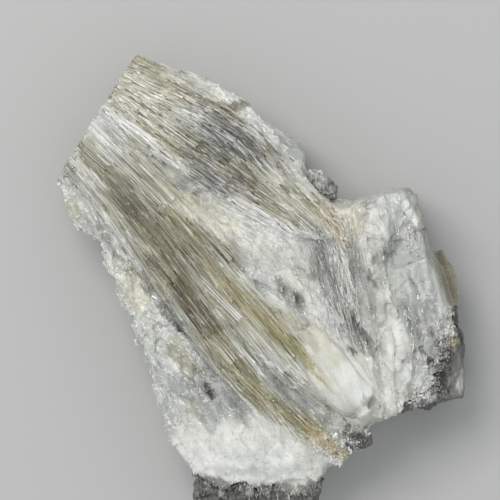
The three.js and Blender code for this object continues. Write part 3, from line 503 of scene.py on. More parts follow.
def regionWeights(flat):
    # how much each point of the front belongs to each region, from 0 to 1
    weights = {name: sheafCover(flat, sheaf) for name, sheaf in sheaves.items()}
    lobe, snow = ovalWeight(flat, "lobe"), ovalWeight(flat, "snow")
    for name in sheaves:
        weights[name] = weights[name] * (1 - lobe) * (1 - 0.8 * snow)
    bare = np.clip(1 - sum(weights.values()), 0, 1)
    outer = np.clip((-19 - 0.42 * flat[:, 1] - flat[:, 0]) / 4, 0, 1)  # left of the lower sheaf
    plain = bare * (1 - lobe)
    weights["lobe"] = bare * lobe
    weights["snow"] = plain * snow
    weights["margin"] = plain * (1 - snow) * outer
    weights["silk"] = plain * (1 - snow) * (1 - outer)
    return weights


def weightedSum(weights, amounts):
    return sum(weights[name] * amount for name, amount in amounts.items())


def addObject(name, data):
    thing = bpy.data.objects.new(name, data)
    bpy.context.scene.collection.objects.link(thing)
    return thing


def mergedCopy(nodeName, name):
    mesh = nodes[nodeName].data.copy()
    mesh.materials.clear()
    work = bmesh.new()
    work.from_mesh(mesh)
    bmesh.ops.remove_doubles(work, verts=work.verts, dist=1e-6)
    work.to_mesh(mesh)
    work.free()
    return addObject(name, mesh)


def voxelRemesh(thing, size):
    thing.data.remesh_voxel_size = size
    thing.data.remesh_voxel_adaptivity = 0
    bpy.context.view_layer.objects.active = thing
    thing.select_set(True)
    bpy.ops.object.voxel_remesh()
    thing.select_set(False)


def splitFront(mesh, leastUp):
    # halves the faces that look up, for finer detail there
    work = bmesh.new()
    work.from_mesh(mesh)
    chosen = {edge for face in work.faces if face.normal.z > leastUp for edge in face.edges}
    bmesh.ops.subdivide_edges(work, edges=list(chosen), cuts=1, use_grid_fill=True)
    work.to_mesh(mesh)
    work.free()


def readVertices(mesh):
    # places in mm, and normals
    places = np.empty(len(mesh.vertices) * 3)
    mesh.vertices.foreach_get("co", places)
    normals = np.empty(len(mesh.vertices) * 3, np.float32)
    mesh.vertex_normals.foreach_get("vector", normals)
    return places.reshape(-1, 3) / mm, normals.reshape(-1, 3).astype(float)


def writeVertices(mesh, places):
    mesh.vertices.foreach_set("co", (places * mm).ravel())
    mesh.update()


def solidOf(mesh):
    return BVHTree.FromPolygons([v.co for v in mesh.vertices], [p.vertices[:] for p in mesh.polygons])


def snapTo(points, solid, reach):
    # moves points in mm onto the nearest faces of a solid, if they are within reach
    moved = points.copy()
    for index, point in enumerate(points * mm):
        near = solid.find_nearest(Vector(point), reach * mm)[0]
        if near is not None:
            moved[index] = (near.x / mm, near.y / mm, near.z / mm)
    return moved


def storeValues(mesh, name, values):
    # keeps a number, a vector of 3 or a colour of 4 on every vertex
    values = np.asarray(values, np.float32).reshape(len(mesh.vertices), -1)
    kinds = {1: ("FLOAT", "value"), 3: ("FLOAT_VECTOR", "vector"), 4: ("FLOAT_COLOR", "color")}
    kind, field = kinds[values.shape[1]]
    mesh.attributes.new(name, kind, "POINT").data.foreach_set(field, values.ravel())


def storeTint(mesh, tint, lightest):
    storeValues(mesh, "tint", np.column_stack([np.clip(tint, 0, lightest), np.ones(len(tint))]))


def readFloat(mesh, name):
    values = np.empty(len(mesh.vertices), np.float32)
    mesh.attributes[name].data.foreach_get("value", values)
    return values


def countTriangles(mesh):
    corners = np.empty(len(mesh.polygons), np.int32)
    mesh.polygons.foreach_get("loop_total", corners)
    return int((corners - 2).sum())


def addNode(tree, kind, inputs=None, **settings):
    # a node with its settings; an input takes a value, or is linked to a socket
    node = tree.nodes.new(kind)
    for key, value in settings.items():
        setattr(node, key, value)
    for key, value in (inputs or {}).items():
        if isinstance(value, bpy.types.NodeSocket):
            tree.links.new(value, node.inputs[key])
        else:
            node.inputs[key].default_value = value
    return node


def newMaterial(name):
    material = bpy.data.materials.new(name)
    material.use_nodes = True
    tree = material.node_tree
    return material, tree, tree.nodes["Principled BSDF"]


def attributeOf(tree, name, output="Fac"):
    return addNode(tree, "ShaderNodeAttribute", attribute_name=name).outputs[output]


def rangeOf(tree, source, low, high, fromMin=0.3, fromMax=0.7):
    # maps a noise onto a range of numbers
    inputs = {"Value": source, "From Min": fromMin, "From Max": fromMax, "To Min": low, "To Max": high}
    return addNode(tree, "ShaderNodeMapRange", inputs).outputs["Result"]


def blendOf(tree, factor, first, second):
    # between two numbers, by the factor
    return addNode(tree, "ShaderNodeMix", {0: factor, 2: first, 3: second}, data_type="FLOAT").outputs[0]


def colourBlend(tree, factor, first, second):
    return addNode(tree, "ShaderNodeMix", {0: factor, 6: first, 7: second}, data_type="RGBA").outputs[2]


def scaledColour(tree, colour, factor):
    inputs = {0: colour, "Scale": factor}
    return addNode(tree, "ShaderNodeVectorMath", inputs, operation="SCALE").outputs["Vector"]


def productOf(tree, first, *others):
    for other in others:
        first = addNode(tree, "ShaderNodeMath", {0: first, 1: other}, operation="MULTIPLY").outputs[0]
    return first


def stretchedBy(tree, vector, stretch):
    return addNode(tree, "ShaderNodeMapping", {"Vector": vector, "Scale": stretch}).outputs["Vector"]


def stretchedNoise(tree, vector, stretch, detail, scale=1.0):
    # noise on a vector that is first scaled on each axis
    inputs = {"Vector": stretchedBy(tree, vector, stretch), "Scale": scale, "Detail": detail}
    return addNode(tree, "ShaderNodeTexNoise", inputs).outputs["Fac"]


def crackLines(tree, vector, stretch, width):
    # thin lines between stretched cells, dark where the value is low
    inputs = {"Vector": stretchedBy(tree, vector, stretch), "Scale": 1.0}
    cells = addNode(tree, "ShaderNodeTexVoronoi", inputs, feature="DISTANCE_TO_EDGE")
    return rangeOf(tree, cells.outputs["Distance"], 0.0, 1.0, 0.0, width)


def addBump(tree, shader, height, strength, distance, before=None):
    inputs = {"Height": height, "Strength": strength, "Distance": distance}
    if before is not None:
        inputs["Normal"] = before.outputs["Normal"]
    bump = addNode(tree, "ShaderNodeBump", inputs)
    tree.links.new(bump.outputs["Normal"], shader.inputs["Normal"])
    return bump


# scales of the noises along, across and through the grain, with their detail, and what they do
crystalFinish = {
    "bands": ((0.04, 0.5, 0.2), 3.0),
    "streak": ((0.07, 1.7, 0.3), 4.0),
    "hairs": ((0.13, 4.6, 0.5), 1.5),
    "mottle": ((0.28, 0.5, 0.4), 7.0),
    "cracks": (0.12, 0.4, 0.3), "crackWidth": 0.05,
    "powderScale": 2600.0,
    # the next two colours are mixed into the base colour as painted glints and painted sparkle, highlights
    # painted in
    "paintedGlint": (0.86, 0.86, 0.82, 1),
    "paintedSparkle": (0.9, 0.9, 0.88, 1),
    "gloss": (0.18, 0.42), "calmGloss": 0.8, "calmShade": 0.97,
    "glowColour": (1.0, 0.96, 0.85), "glowReach": 1.1 * mm,
    "shine": 0.6,
    "lineDepth": 0.2 * mm, "powderDepth": 0.1 * mm,
}


def makeCrystalMaterial(name, glow):
    # fine lines along the grain where ribbed is 1, mottled and powdery where it is 0
    material, tree, shader = newMaterial(name)
    finish = crystalFinish
    tint, grain = attributeOf(tree, "tint", "Color"), attributeOf(tree, "grain", "Vector")
    ribbed, calm = attributeOf(tree, "ribbed"), attributeOf(tree, "calm")
    place = addNode(tree, "ShaderNodeTexCoord").outputs["Object"]
    noises = [stretchedNoise(tree, grain, *finish[kind]) for kind in ("bands", "streak", "hairs", "mottle")]
    bands, streak, hairs, mottle = noises
    powder = stretchedNoise(tree, place, (1, 1, 1), 2.0, finish["powderScale"])
    ribShade = productOf(
        tree, rangeOf(tree, streak, 0.70, 1.26), rangeOf(tree, hairs, 0.68, 1.2),
        rangeOf(tree, bands, 0.87, 1.13), rangeOf(tree, mottle, 0.88, 1.1),
    )
    cracks = crackLines(tree, grain, finish["cracks"], finish["crackWidth"])
    cracks = rangeOf(tree, cracks, 0.78, 1.0, 0.0, 1.0)
    massShade = productOf(
        tree, rangeOf(tree, mottle, 0.70, 1.18), rangeOf(tree, powder, 0.86, 1.12),
        blendOf(tree, rangeOf(tree, mottle, 0.0, 1.0, 0.45, 0.6), 1.0, cracks),
    )
    massShade = blendOf(tree, calm, massShade, finish["calmShade"])
    colour = scaledColour(tree, tint, blendOf(tree, ribbed, massShade, ribShade))
    # painted glints: near-white lines along the hairs, a highlight painted into the base colour
    paintedGlint = rangeOf(tree, hairs, 0.0, 0.85, 0.60, 0.68)
    paintedGlint = productOf(tree, paintedGlint, rangeOf(tree, mottle, 0.0, 1.0, 0.42, 0.60), ribbed)
    # painted sparkle: near-white specks, a highlight painted into the base colour
    paintedSparkle = rangeOf(tree, powder, 0.0, 0.7, 0.61, 0.69)
    paintedSparkle = productOf(tree, paintedSparkle, rangeOf(tree, mottle, 0.0, 1.0, 0.44, 0.56))
    colour = colourBlend(tree, paintedGlint, colour, finish["paintedGlint"])
    colour = colourBlend(tree, paintedSparkle, colour, finish["paintedSparkle"])
    tree.links.new(colour, shader.inputs["Base Color"])
    gloss = blendOf(tree, calm, rangeOf(tree, streak, *finish["gloss"]), finish["calmGloss"])
    tree.links.new(gloss, shader.inputs["Roughness"])
    shader.inputs["Specular IOR Level"].default_value = finish["shine"]
    shader.inputs["Subsurface Weight"].default_value = glow  # light that passes a little way in
    shader.inputs["Subsurface Radius"].default_value = finish["glowColour"]
    shader.inputs["Subsurface Scale"].default_value = finish["glowReach"]
    lines = addBump(tree, shader, blendOf(tree, ribbed, mottle, hairs), 0.6, finish["lineDepth"])
    addBump(tree, shader, powder, 0.3, finish["powderDepth"], lines)
    return material


# rises and sizes in mm; where there is a region, the number holds there
bodySettings = {
    "voxel": 0.8 * mm,
    "frontUp": 0.2,  # faces that look up more than this are made finer
    "snapReach": 0.5,
    "ribs": 0.2, "ribCell": (11.0, 0.9, 6.0),
    # the fourth number is painted light and shade: each flat face is painted lighter or darker to go with its
    # tilt
    "facets": {  # length, width and rise of the flat faces, and how much their shade varies
        "block": (9.0, 7.5, 1.5, 0.18),
        "valley": (8.0, 2.4, 0.5, 0.12),
        "silk": (9.0, 4.0, 0.5, 0.07),
        "margin": (6.0, 3.6, 1.0, 0.10),
        "snow": (5.0, 4.0, 0.4, 0.03),
    },
    "facetSeed": 71, "smallFacetSeed": 83, "smallFacets": 0.35,
    "folds": {"block": 0.04, "valley": 0.35, "silk": 0.25, "margin": 0.35, "lobe": 0.05},
    "foldCell": (9.0, 2.6, 6.0),
    "clumps": {"snow": 0.55, "margin": 0.3, "silk": 0.12}, "clumpCell": 5.0,
    "swell": {"lobe": 0.9},
    "wallRough": 0.7, "wallCells": (6.0, 2.6),
    "wallTint": 0.85,  # how far the walls go over to plain stone
    "calm": {"lobe": 0.6, "snow": 0.55, "block": 0.4, "silk": 0.1},  # how plain the material is
    "soften": {"lobe": 1.0, "block": 0.35, "silk": 0.6, "snow": 1.0, "margin": 0.5},
    "softenRounds": 14,
    "glow": 0.4,
}


def facets(flat, cell, seed, crease=30.0):
    # flat faces that meet in creases: each cell of a jittered grid has its own height and slope, and a shade
    # that goes with its slope across, painted light and shade
    scaled = flat / np.array(cell)
    low = np.floor(scaled)
    total, height, shade = (np.zeros(len(flat)) for _ in range(3))
    for step in itertools.product((-1, 0, 1), repeat=2):
        key = np.column_stack([low + np.array(step), np.full(len(flat), 3.0)])
        own = [cornerValue(key, seed + n) for n in range(5)]
        away = scaled - key[:, :2] - 0.5 - 0.42 * np.column_stack(own[:2])
        weight = np.exp(-crease * (away**2).sum(axis=1))
        total += weight
        height += weight * (0.5 * own[2] + 0.7 * own[3] * away[:, 0] + 1.2 * own[4] * away[:, 1])
        shade += weight * own[4]
    return height / total, shade / total


def softened(mesh, points, amount):
    # evens the surface out by moving each point towards its neighbours
    ends = np.empty(2 * len(mesh.edges), np.int32)
    mesh.edges.foreach_get("vertices", ends)
    first, second, total = ends[::2], ends[1::2], len(points)
    count = np.bincount(first, minlength=total) + np.bincount(second, minlength=total)
    for _ in range(bodySettings["softenRounds"]):
        sums = [
            np.bincount(first, column[second], total) + np.bincount(second, column[first], total)
            for column in points.T
        ]
        middle = np.column_stack(sums) / np.maximum(count, 1)[:, None]
        points = points + 0.6 * amount[:, None] * (middle - points)
    return points


# ridges, and hollows where the rise is below 0, as x, y to x, y, half width and rise (all mm)
ridges = [
    (21.8, 16.6, 24.4, 10.0, 1.4, 0.6), (24.4, 10.0, 25.4, 4.4, 1.1, 0.6),
    (25.9, 1.8, 27.6, -1.0, 0.5, -0.5), (31.6, 15.5, 31.4, 11.0, 1.0, -0.3),
    (27.4, 5.6, 32.4, 9.6, 1.2, -0.3), (29.0, 4.5, 28.6, -0.5, 1.1, -0.4),
    (34.8, 18.4, 36.8, 14.4, 1.2, 0.5), (36.0, 0.0, 37.6, -3.0, 0.5, -0.6),
    (32.0, -9.8, 31.8, -18.2, 1.8, 0.4), (36.4, -9.0, 37.4, -15.0, 1.1, -0.6),
    (38.2, -15.0, 41.4, -19.8, 0.6, -0.7), (40.4, -10.4, 42.2, -14.4, 0.6, -0.2),
    (22.0, -8.4, 26.6, -14.3, 0.7, -1.1), (22.0, -12.0, 24.4, -14.2, 1.7, -0.7),
    (27.2, -27.0, 21.8, -30.4, 0.7, -0.45), (21.8, -30.4, 15.7, -29.4, 0.7, -0.8),
    (15.7, -29.4, 9.3, -24.9, 0.7, -0.6), (21.6, -15.0, 26.8, -22.0, 0.7, -0.7),
    (5.2, -1.1, 9.3, -4.7, 1.1, -0.25), (-13.2, -24.3, -11.4, -26.6, 1.1, -0.3),
    (-22.3, -5.3, -18.9, -10.4, 1.1, -0.5), (-15.1, 22.1, -13.1, 20.6, 0.6, -0.5),
    (-27.3, 0.1, -24.1, -4.7, 1.1, -0.5), (-38.4, 13.2, -33.0, 7.0, 1.2, -0.5),
]


def ridgeRise(flat, wander=0.6, wanderCell=2.2):
    # rise of the ridges, whose lines wander a little
    rise = np.zeros(len(flat))
    level = np.column_stack([flat, np.zeros(len(flat))])
    flat = flat + wander * np.column_stack([softNoise(level, wanderCell, seed) for seed in (87, 89)])
    for *ends, halfWidth, height in ridges:
        near = np.clip(1.5 - roundPlace(flat, *ends)[1] / halfWidth, 0, 1)
        rise += height * near * near * (3 - 2 * near)
    return rise


def bodyRelief(points, normals, grain, weights):
    # how far each point of the body moves out along its normal, in mm
    ribbed = np.clip(sum(weights[name] for name in fibrous), 0, 1)
    own = bodySettings
    rise = own["ribs"] * ribbed * layeredNoise(grain, own["ribCell"], 5)
    for name, (length, width, height, _) in own["facets"].items():
        amount, smallCell = weights[name] * height, (length * 0.4, width * 0.45)
        rise += amount * facets(grain[:, :2], (length, width), own["facetSeed"])[0]
        amount = own["smallFacets"] * amount
        rise += amount * facets(grain[:, :2] + 40, smallCell, own["smallFacetSeed"], 40.0)[0]
    rise += weightedSum(weights, own["folds"]) * layeredNoise(grain, own["foldCell"], 13)
    rise += weightedSum(weights, own["clumps"]) * layeredNoise(points, own["clumpCell"], 11)
    rise += weightedSum(weights, own["swell"]) + ridgeRise(points[:, :2])
    rise *= np.clip(normals[:, 2] * 1.6, 0, 1)
    wall = (1 - np.clip(normals[:, 2] * 1.8, 0, 1)) * np.clip((31 - points[:, 2]) / 6, 0, 1)
    wall *= 1 - 0.9 * ovalWeight(points[:, :2], "sideFlake")
    large, small = own["wallCells"]
    cracked = np.abs(softNoise(points, large, 31)) + 0.5 * np.abs(softNoise(points, small, 37))
    rise += wall * own["wallRough"] * (cracked - 0.55)
    restFace = (normals[:, 2] < -0.6) & (points[:, 2] < 1)
    return np.where(restFace, 0, rise)


def trimmed(points, beyond=0.2):
    # nothing passes the clean cut end
    over = np.maximum(points[:, :2] @ cutEnd["outward"] - cutEnd["distance"] - beyond, 0)
    points[:, :2] -= over[:, None] * cutEnd["outward"]
    return points


def onCutEnd(points, normals):
    near = points[:, :2] @ cutEnd["outward"] > cutEnd["near"]
    return near & (normals[:, :2] @ cutEnd["outward"] > 0.5)


def onSteepSides(points, normals, lowest=1, highest=26):
    steep = np.abs(normals[:, 2]) < 0.45
    return steep & (points[:, 2] > lowest) & (points[:, 2] < highest) & ~onCutEnd(points, normals)


def evenedOut(mesh, points, weights):
    # presses the sunk needle into the snow round it, then softens each region as much as it needs
    normals = readVertices(mesh)[1]
    soft = weightedSum(weights, bodySettings["soften"]) * np.clip(normals[:, 2] * 2, 0, 1)
    pressed = ovalWeight(points[:, :2], "sunkNeedle")
    away = points[:, :2] - ovals["sunkNeedle"][:2]
    ground = snowByNeedle["level"] + away @ np.array(snowByNeedle["slope"])
    points[:, 2] -= pressed * np.maximum(points[:, 2] - ground, 0)
    return softened(mesh, points, np.maximum(soft, pressed))


def colourBody(mesh, grain, weights):
    points, normals = readVertices(mesh)
    facingUp = np.clip(normals[:, 2] * 2, 0, 1)
    ribbed = np.clip(sum(weights[name] for name in fibrous), 0, 1)
    ribbed = (ribbed + 0.5 * weights["valley"] + 0.3 * weights["silk"]) * facingUp
    tint = tintAt(points, grain)
    # each flat face painted lighter or darker with its slope, painted light and shade
    for name, (length, width, _, contrast) in bodySettings["facets"].items():
        shade = facets(grain[:, :2], (length, width), bodySettings["facetSeed"])[1]
        tint *= (1 + weights[name] * contrast * facingUp * shade)[:, None]
    wall = np.clip(0.75 - normals[:, 2] * 2, 0, 1) * np.clip((29 - points[:, 2]) / 8, 0, 1)
    wall = wall * np.where(onCutEnd(points, normals), 0.4, 1.0)
    # the stone of the walls is kept off the dark edge above the side flake, its own olive-grey with painted
    # shade
    wall = wall * (1 - ovalWeight(points[:, :2], "cornerFlake"))
    stone = (0.9 + 0.25 * layeredNoise(points, (5, 5, 9), 91, 3))[:, None] * np.array(palette["pearl"])
    tint = paintedOver(tint, bodySettings["wallTint"] * wall, stone)
    storeTint(mesh, tint, 0.9)
    storeValues(mesh, "grain", grain)
    storeValues(mesh, "ribbed", ribbed)
    calm = weightedSum(weights, bodySettings["calm"])
    storeValues(mesh, "calm", np.maximum(calm, 0.8 * ovalWeight(points[:, :2], "sideFlake")))


def makeBody():
    body = mergedCopy("crystal_mass", "crystalBody")
    solid = solidOf(body.data)
    voxelRemesh(body, bodySettings["voxel"])
    mesh = body.data
    splitFront(mesh, bodySettings["frontUp"])
    points = snapTo(readVertices(mesh)[0], solid, bodySettings["snapReach"])
    writeVertices(mesh, points)
    weights = regionWeights(points[:, :2])
    writeVertices(mesh, evenedOut(mesh, points, weights))
    points, normals = readVertices(mesh)
    grain = grainCoordinates(points)
    points = points + normals * bodyRelief(points, normals, grain, weights)[:, None]
    points[:, 2] = np.maximum(points[:, 2], 0)
    writeVertices(mesh, trimmed(points))
    colourBody(mesh, grain, weights)
    mesh.materials.append(makeCrystalMaterial("silkyCrystal", bodySettings["glow"]))
    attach(body, "root")
    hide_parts("crystal_mass")
    print("crystal body", countTriangles(mesh), "triangles")
    return body


def makeFrontMap(points, normals, cell=0.5, border=2, leastUp=0.15, lowest=14, rounds=14):
    # a grid of the front's height in mm, for laying laths on it; below 0 where there is nothing
    low = points[:, :2].min(axis=0) - border
    size = np.ceil((points[:, :2].max(axis=0) + border - low) / cell).astype(int)
    front = points[normals[:, 2] > leastUp]
    spot = ((front[:, :2] - low) / cell).astype(int)
    heights = np.full(size, -1.0)
    np.maximum.at(heights, (spot[:, 0], spot[:, 1]), front[:, 2])
    heights[heights < lowest] = -1
    for fewest in (3, 3, 1, 1):  # fills gaps that have at least so many known neighbours
        near = np.stack([np.roll(heights, shift, axis=axis) for axis in (0, 1) for shift in (-1, 1)])
        known = (near > 0).sum(axis=0)
        filled = np.where(near > 0, near, 0).sum(axis=0) / np.maximum(known, 1)
        heights = np.where((heights < 0) & (known >= fewest), filled, heights)
    known = (heights > 0) * 1.0
    soft = np.stack([heights * known, known])
    for _ in range(rounds):
        for axis in (1, 2):
            soft = (np.roll(soft, 1, axis=axis) + soft + np.roll(soft, -1, axis=axis)) / 3
    slopes = np.gradient(soft[0] / np.maximum(soft[1], 1e-6), cell)
    return {"low": low, "cell": cell, "heights": heights, "slopes": slopes}


def heightAt(frontMap, flat):
    # height between the grid's cells, in mm; below 0 where there is no crystal
    grid = frontMap["heights"]
    place = (flat - frontMap["low"]) / frontMap["cell"] - 0.5
    low = np.clip(np.floor(place).astype(int), 0, np.array(grid.shape) - 2)
    part = np.clip(place - low, 0, 1)
    height, lowest = np.zeros(len(flat)), np.full(len(flat), np.inf)
    for dx, dy in itertools.product((0, 1), repeat=2):
        corner = grid[low[:, 0] + dx, low[:, 1] + dy]
        share = (part[:, 0] if dx else 1 - part[:, 0]) * (part[:, 1] if dy else 1 - part[:, 1])
        height, lowest = height + corner * share, np.minimum(lowest, corner)
    return np.where(lowest < 0, -1, height)


def facingAt(frontMap, flat):
    # the direction that the front faces, evened out
    last = np.array(frontMap["heights"].shape) - 1
    place = np.clip(((flat - frontMap["low"]) / frontMap["cell"]).astype(int), 0, last)
    tilt = [slope[place[:, 0], place[:, 1]] for slope in frontMap["slopes"]]
    return unit(np.column_stack([-tilt[0], -tilt[1], np.ones(len(flat))]))


def lathTree():
    # puts a lath on every given point, along its "along" direction
    tree = bpy.data.node_groups.new("growLaths", "GeometryNodeTree")
    for label, kind, value in (
        ("Points", "Geometry", None), ("Sides", "Int", 4), ("Taper", "Float", 0.5), ("Roll", "Float", 0.5),
        ("Seed", "Int", 1), ("Material", "Material", None),
    ):
        socket = tree.interface.new_socket(label, in_out="INPUT", socket_type="NodeSocket" + kind)
        if value is not None:
            socket.default_value = value
    tree.interface.new_socket("Laths", in_out="OUTPUT", socket_type="NodeSocketGeometry")
    given = tree.nodes.new("NodeGroupInput").outputs
    result = tree.nodes.new("NodeGroupOutput").inputs["Laths"]

    def add(kind, inputs=None, output=0, **settings):
        return addNode(tree, kind, inputs, **settings).outputs[output]

    def named(label):
        return add("GeometryNodeInputNamedAttribute", {"Name": label}, "Attribute", data_type="FLOAT_VECTOR")

    def multiply(value, factor):
        return add("ShaderNodeMath", {0: value, 1: factor}, operation="MULTIPLY")

    kinds = addNode(tree, "GeometryNodeGeometryToInstance")
    for share in (1.0, 0.8, 0.4):  # three laths that taper more and more
        top = multiply(given["Taper"], 0.6 * share)
        sizes = {"Vertices": given["Sides"], "Radius Bottom": 0.6, "Radius Top": top, "Depth": 1.0}
        prism = add("GeometryNodeMeshCone", sizes, "Mesh", fill_type="NGON")
        level = add("GeometryNodeTransform", {"Geometry": prism, "Rotation": (0, 0, math.pi / 4)})
        laid = {"Geometry": level, "Translation": (-0.5, 0, 0), "Rotation": (0, math.pi / 2, 0)}
        tree.links.new(add("GeometryNodeTransform", laid), kinds.inputs["Geometry"])

    directions = {"Primary Axis": named("along"), "Secondary Axis": named("facing")}
    axes = add("FunctionNodeAxesToRotation", directions, primary_axis="X", secondary_axis="Z")
    roll = addNode(tree, "FunctionNodeRandomValue", {"Seed": given["Seed"]}, data_type="FLOAT")
    low, high = [socket for socket in roll.inputs if socket.type == "VALUE" and socket.name in ("Min", "Max")]
    tree.links.new(multiply(given["Roll"], -1.0), low)
    tree.links.new(given["Roll"], high)
    angle = next(socket for socket in roll.outputs if socket.type == "VALUE")
    rolled = add("FunctionNodeEulerToRotation", {0: add("ShaderNodeCombineXYZ", {"X": angle})})
    rotation = {"Rotation": axes, "Rotate By": rolled}
    rotation = add("FunctionNodeRotateRotation", rotation, rotation_space="LOCAL")

    placed = {
        "Points": given["Points"], "Instance": kinds.outputs["Instances"], "Pick Instance": True,
        "Rotation": rotation, "Scale": named("size"),
    }
    plain = add("GeometryNodeRealizeInstances", {"Geometry": add("GeometryNodeInstanceOnPoints", placed)})
    tree.links.new(add("GeometryNodeSetMaterial", {"Geometry": plain, "Material": given["Material"]}), result)
    return tree


# Length, width and rise run from least to most; lengths are in mm and turn is in degrees.
# bend: how far the front may leave a straight lath. bunches: the size of the patches they stand in.
# bright: the share that gets a painted gleam, a highlight painted into their colour. rest: how near a solid
# they have to lie.
lathDefaults = {
    "sides": 4, "taper": 0.6, "roll": 0.6, "flatness": 0.7, "bend": 0.4,
    "ribbed": 1.0, "shade": 1.0, "gleam": 0.4, "rest": 0.5,
}

bundleSettings = {
    "spacing": 0.45, "flatness": 1.2, "taper": 0.9, "roll": 0.3, "contrast": 0.36, "bright": 0.4,
    "gleam": 0.75, "ribbed": 0.5, "rest": 0.8, "seed": 51,
}

# bundles that break off square: from x, y to the broken end, half width (mm)
brokenBundles = [
    (-43.5, 35.0, -36.2, 28.4, 1.8),
    (-32.5, 30.6, -21.7, 19.7, 2.1),
    (-38.0, 42.8, -26.5, 34.0, 1.2),
    (-14.5, 13.2, -7.7, 5.5, 1.2),
    (-16.5, 3.0, -5.4, -8.4, 1.7),
    (2.5, 23.4, 13.4, 13.8, 1.3),
    (-2.0, 29.5, 4.6, 24.0, 1.3),
    (-24.0, 40.0, -15.0, 33.5, 1.4),
    (-12.4, -12.2, -7.0, -18.6, 1.7),
]

# smooth crystals with few hairs on them, as x, y to x, y and half width (mm)
smoothCrystals = [
    (-22.5, 3.0, -11.0, -11.8, 2.4),
    (-31.0, 18.0, -20.0, 4.0, 2.4),
    (-5.0, -3.5, 14.0, -21.5, 1.7),
    (-9.0, -16.5, 1.0, -26.5, 2.2),
    (-12.0, 37.5, 0.0, 30.0, 2.0),
    (-31.0, 33.5, -20.5, 26.0, 2.0),
    (-22.0, 46.0, -9.5, 41.5, 1.9),
    (9.5, -32.5, 22.0, -43.0, 3.4),
]


def hairShare(flat):
    # fewer hairs on the smooth crystals, hardly any over a bundle's broken end
    share = np.ones(len(flat))
    places = [(*line, 0.25, 0.1) for line in brokenBundles] + [(*line, 0.0, 0.25) for line in smoothCrystals]
    for *ends, halfWidth, start, left in places:
        length, down, side = squarePlace(flat, *ends)
        covered = (side < halfWidth) & (down > start * length) & (down < length + 0.6)
        share = np.where(covered, np.minimum(share, left), share)
    return share


def lathSet(flat, level, along, length, width, flatness, facing=None):
    # places, directions, facings and sizes of laths; they face up unless told otherwise
    facing = np.tile([0.0, 0.0, 1.0], (len(flat), 1)) if facing is None else facing
    return np.column_stack([flat, level]), along, facing, np.column_stack([length, width, width * flatness])


def onlyWhere(fits, laid):
    return [part[fits] for part in laid]


def layBundles(settings, chance, frontMap):
    # parallel laths side by side that all stop at the bundle's broken end
    found = []
    for x1, y1, x2, y2, halfWidth in brokenBundles:
        count = 2 * round(2 * halfWidth / settings["spacing"])
        line = np.array([x2 - x1, y2 - y1])
        whole = np.linalg.norm(line)
        heading = np.tile(line / whole, (count, 1))
        sideways = np.linspace(-halfWidth, halfWidth, count) + chance.uniform(-0.1, 0.1, count)
        length = whole * chance.uniform(0.35, 1.0, count)
        ends = np.array([x2, y2]) + sideways[:, None] * np.array([-line[1], line[0]]) / whole
        ends = ends + heading * chance.uniform(-0.25, 0.25, count)[:, None]
        centres = ends - heading * length[:, None] / 2
        low, high = heightAt(frontMap, centres - heading * length[:, None] * 0.4), heightAt(frontMap, ends)
        middle = heightAt(frontMap, centres)
        slope = (high - low) / 0.9
        fits = (low > 0) & (high > 0) & (middle > 0) & (np.abs(slope) < 0.6 * length)
        level = np.maximum(middle, (low + high) / 2) + chance.uniform(0.05, 0.4, count)
        width = settings["spacing"] * chance.uniform(0.35, 0.6, count)
        along, facing = np.column_stack([-heading, -slope / length]), facingAt(frontMap, centres)
        laid = lathSet(centres, level, along, np.hypot(length, slope), width, settings["flatness"], facing)
        found.append(onlyWhere(fits, laid))
    return [np.concatenate(part) for part in zip(*found)]


def fitted(frontMap, centres, heading, length, bend):
    # level and slope of straight laths laid on the front, and which of them it carries
    shares = np.linspace(-0.5, 0.5, 5)
    heights = np.stack([
        heightAt(frontMap, centres + heading * (length * share)[:, None]) for share in shares
    ])
    slope = (heights * shares[:, None]).sum(axis=0) / (shares**2).sum()
    level = heights.mean(axis=0)
    miss = np.abs(heights - level - slope * shares[:, None]).max(axis=0)
    return level, slope, (heights.min(axis=0) > 0) & (miss < bend) & (np.abs(slope) < 0.8 * length)


def layOnFront(settings, chance, frontMap):
    # long laths that lie on the front along the grain
    x1, y1, x2, y2 = settings["area"]
    tries = settings["tries"]
    spots = np.column_stack([chance.uniform(x1, x2, tries), chance.uniform(y1, y2, tries)])
    weights = regionWeights(spots)
    cover = sum(weights[name] for name in settings["region"].split()) * (1 - ovalWeight(spots, "sideFlake"))
    if "bunches" in settings:
        grain = grainCoordinates(np.column_stack([spots, np.zeros(tries)]))
        patchy = layeredNoise(grain, (settings["bunches"] * 6, settings["bunches"], 9), settings["seed"])
        cover = cover * np.clip(0.3 + 2.2 * patchy, 0.08, 1)
    spots = spots[chance.random(tries) < cover * hairShare(spots)]
    angle = np.radians(settings["turn"]) * chance.normal(0, 1, len(spots))
    heading = turned(headingAt(spots), angle)
    shortest, longest = settings["length"]
    length = shortest + (longest - shortest) * chance.random(len(spots)) ** 1.6
    found = []
    for _ in range(3):  # a lath that doesn't fit is tried again at half the length
        toEnd = np.sign(heading @ cutEnd["outward"])[:, None] * heading
        over = (spots + toEnd * length[:, None] / 2) @ cutEnd["outward"] - cutEnd["distance"]
        over += chance.random(len(spots)) * 0.5
        back = np.maximum(over, 0) / np.maximum(np.abs(toEnd @ cutEnd["outward"]), 0.5)
        centres = spots - toEnd * back[:, None]
        level, slope, fits = fitted(frontMap, centres, heading, length, settings["bend"])
        found.append(onlyWhere(fits, (centres, heading, length, level, slope)))
        spots, heading, length = spots[~fits], heading[~fits], length[~fits] * 0.5
    centres, heading, length, level, slope = (np.concatenate(part) for part in zip(*found))
    count = len(centres)
    level = level + chance.uniform(*settings["rise"], count)
    along = np.column_stack([heading, slope / length]) * chance.choice([-1, 1], count)[:, None]
    width = chance.uniform(*settings["width"], count)
    facing = facingAt(frontMap, centres)
    return lathSet(centres, level, along, np.hypot(length, slope), width, settings["flatness"], facing)


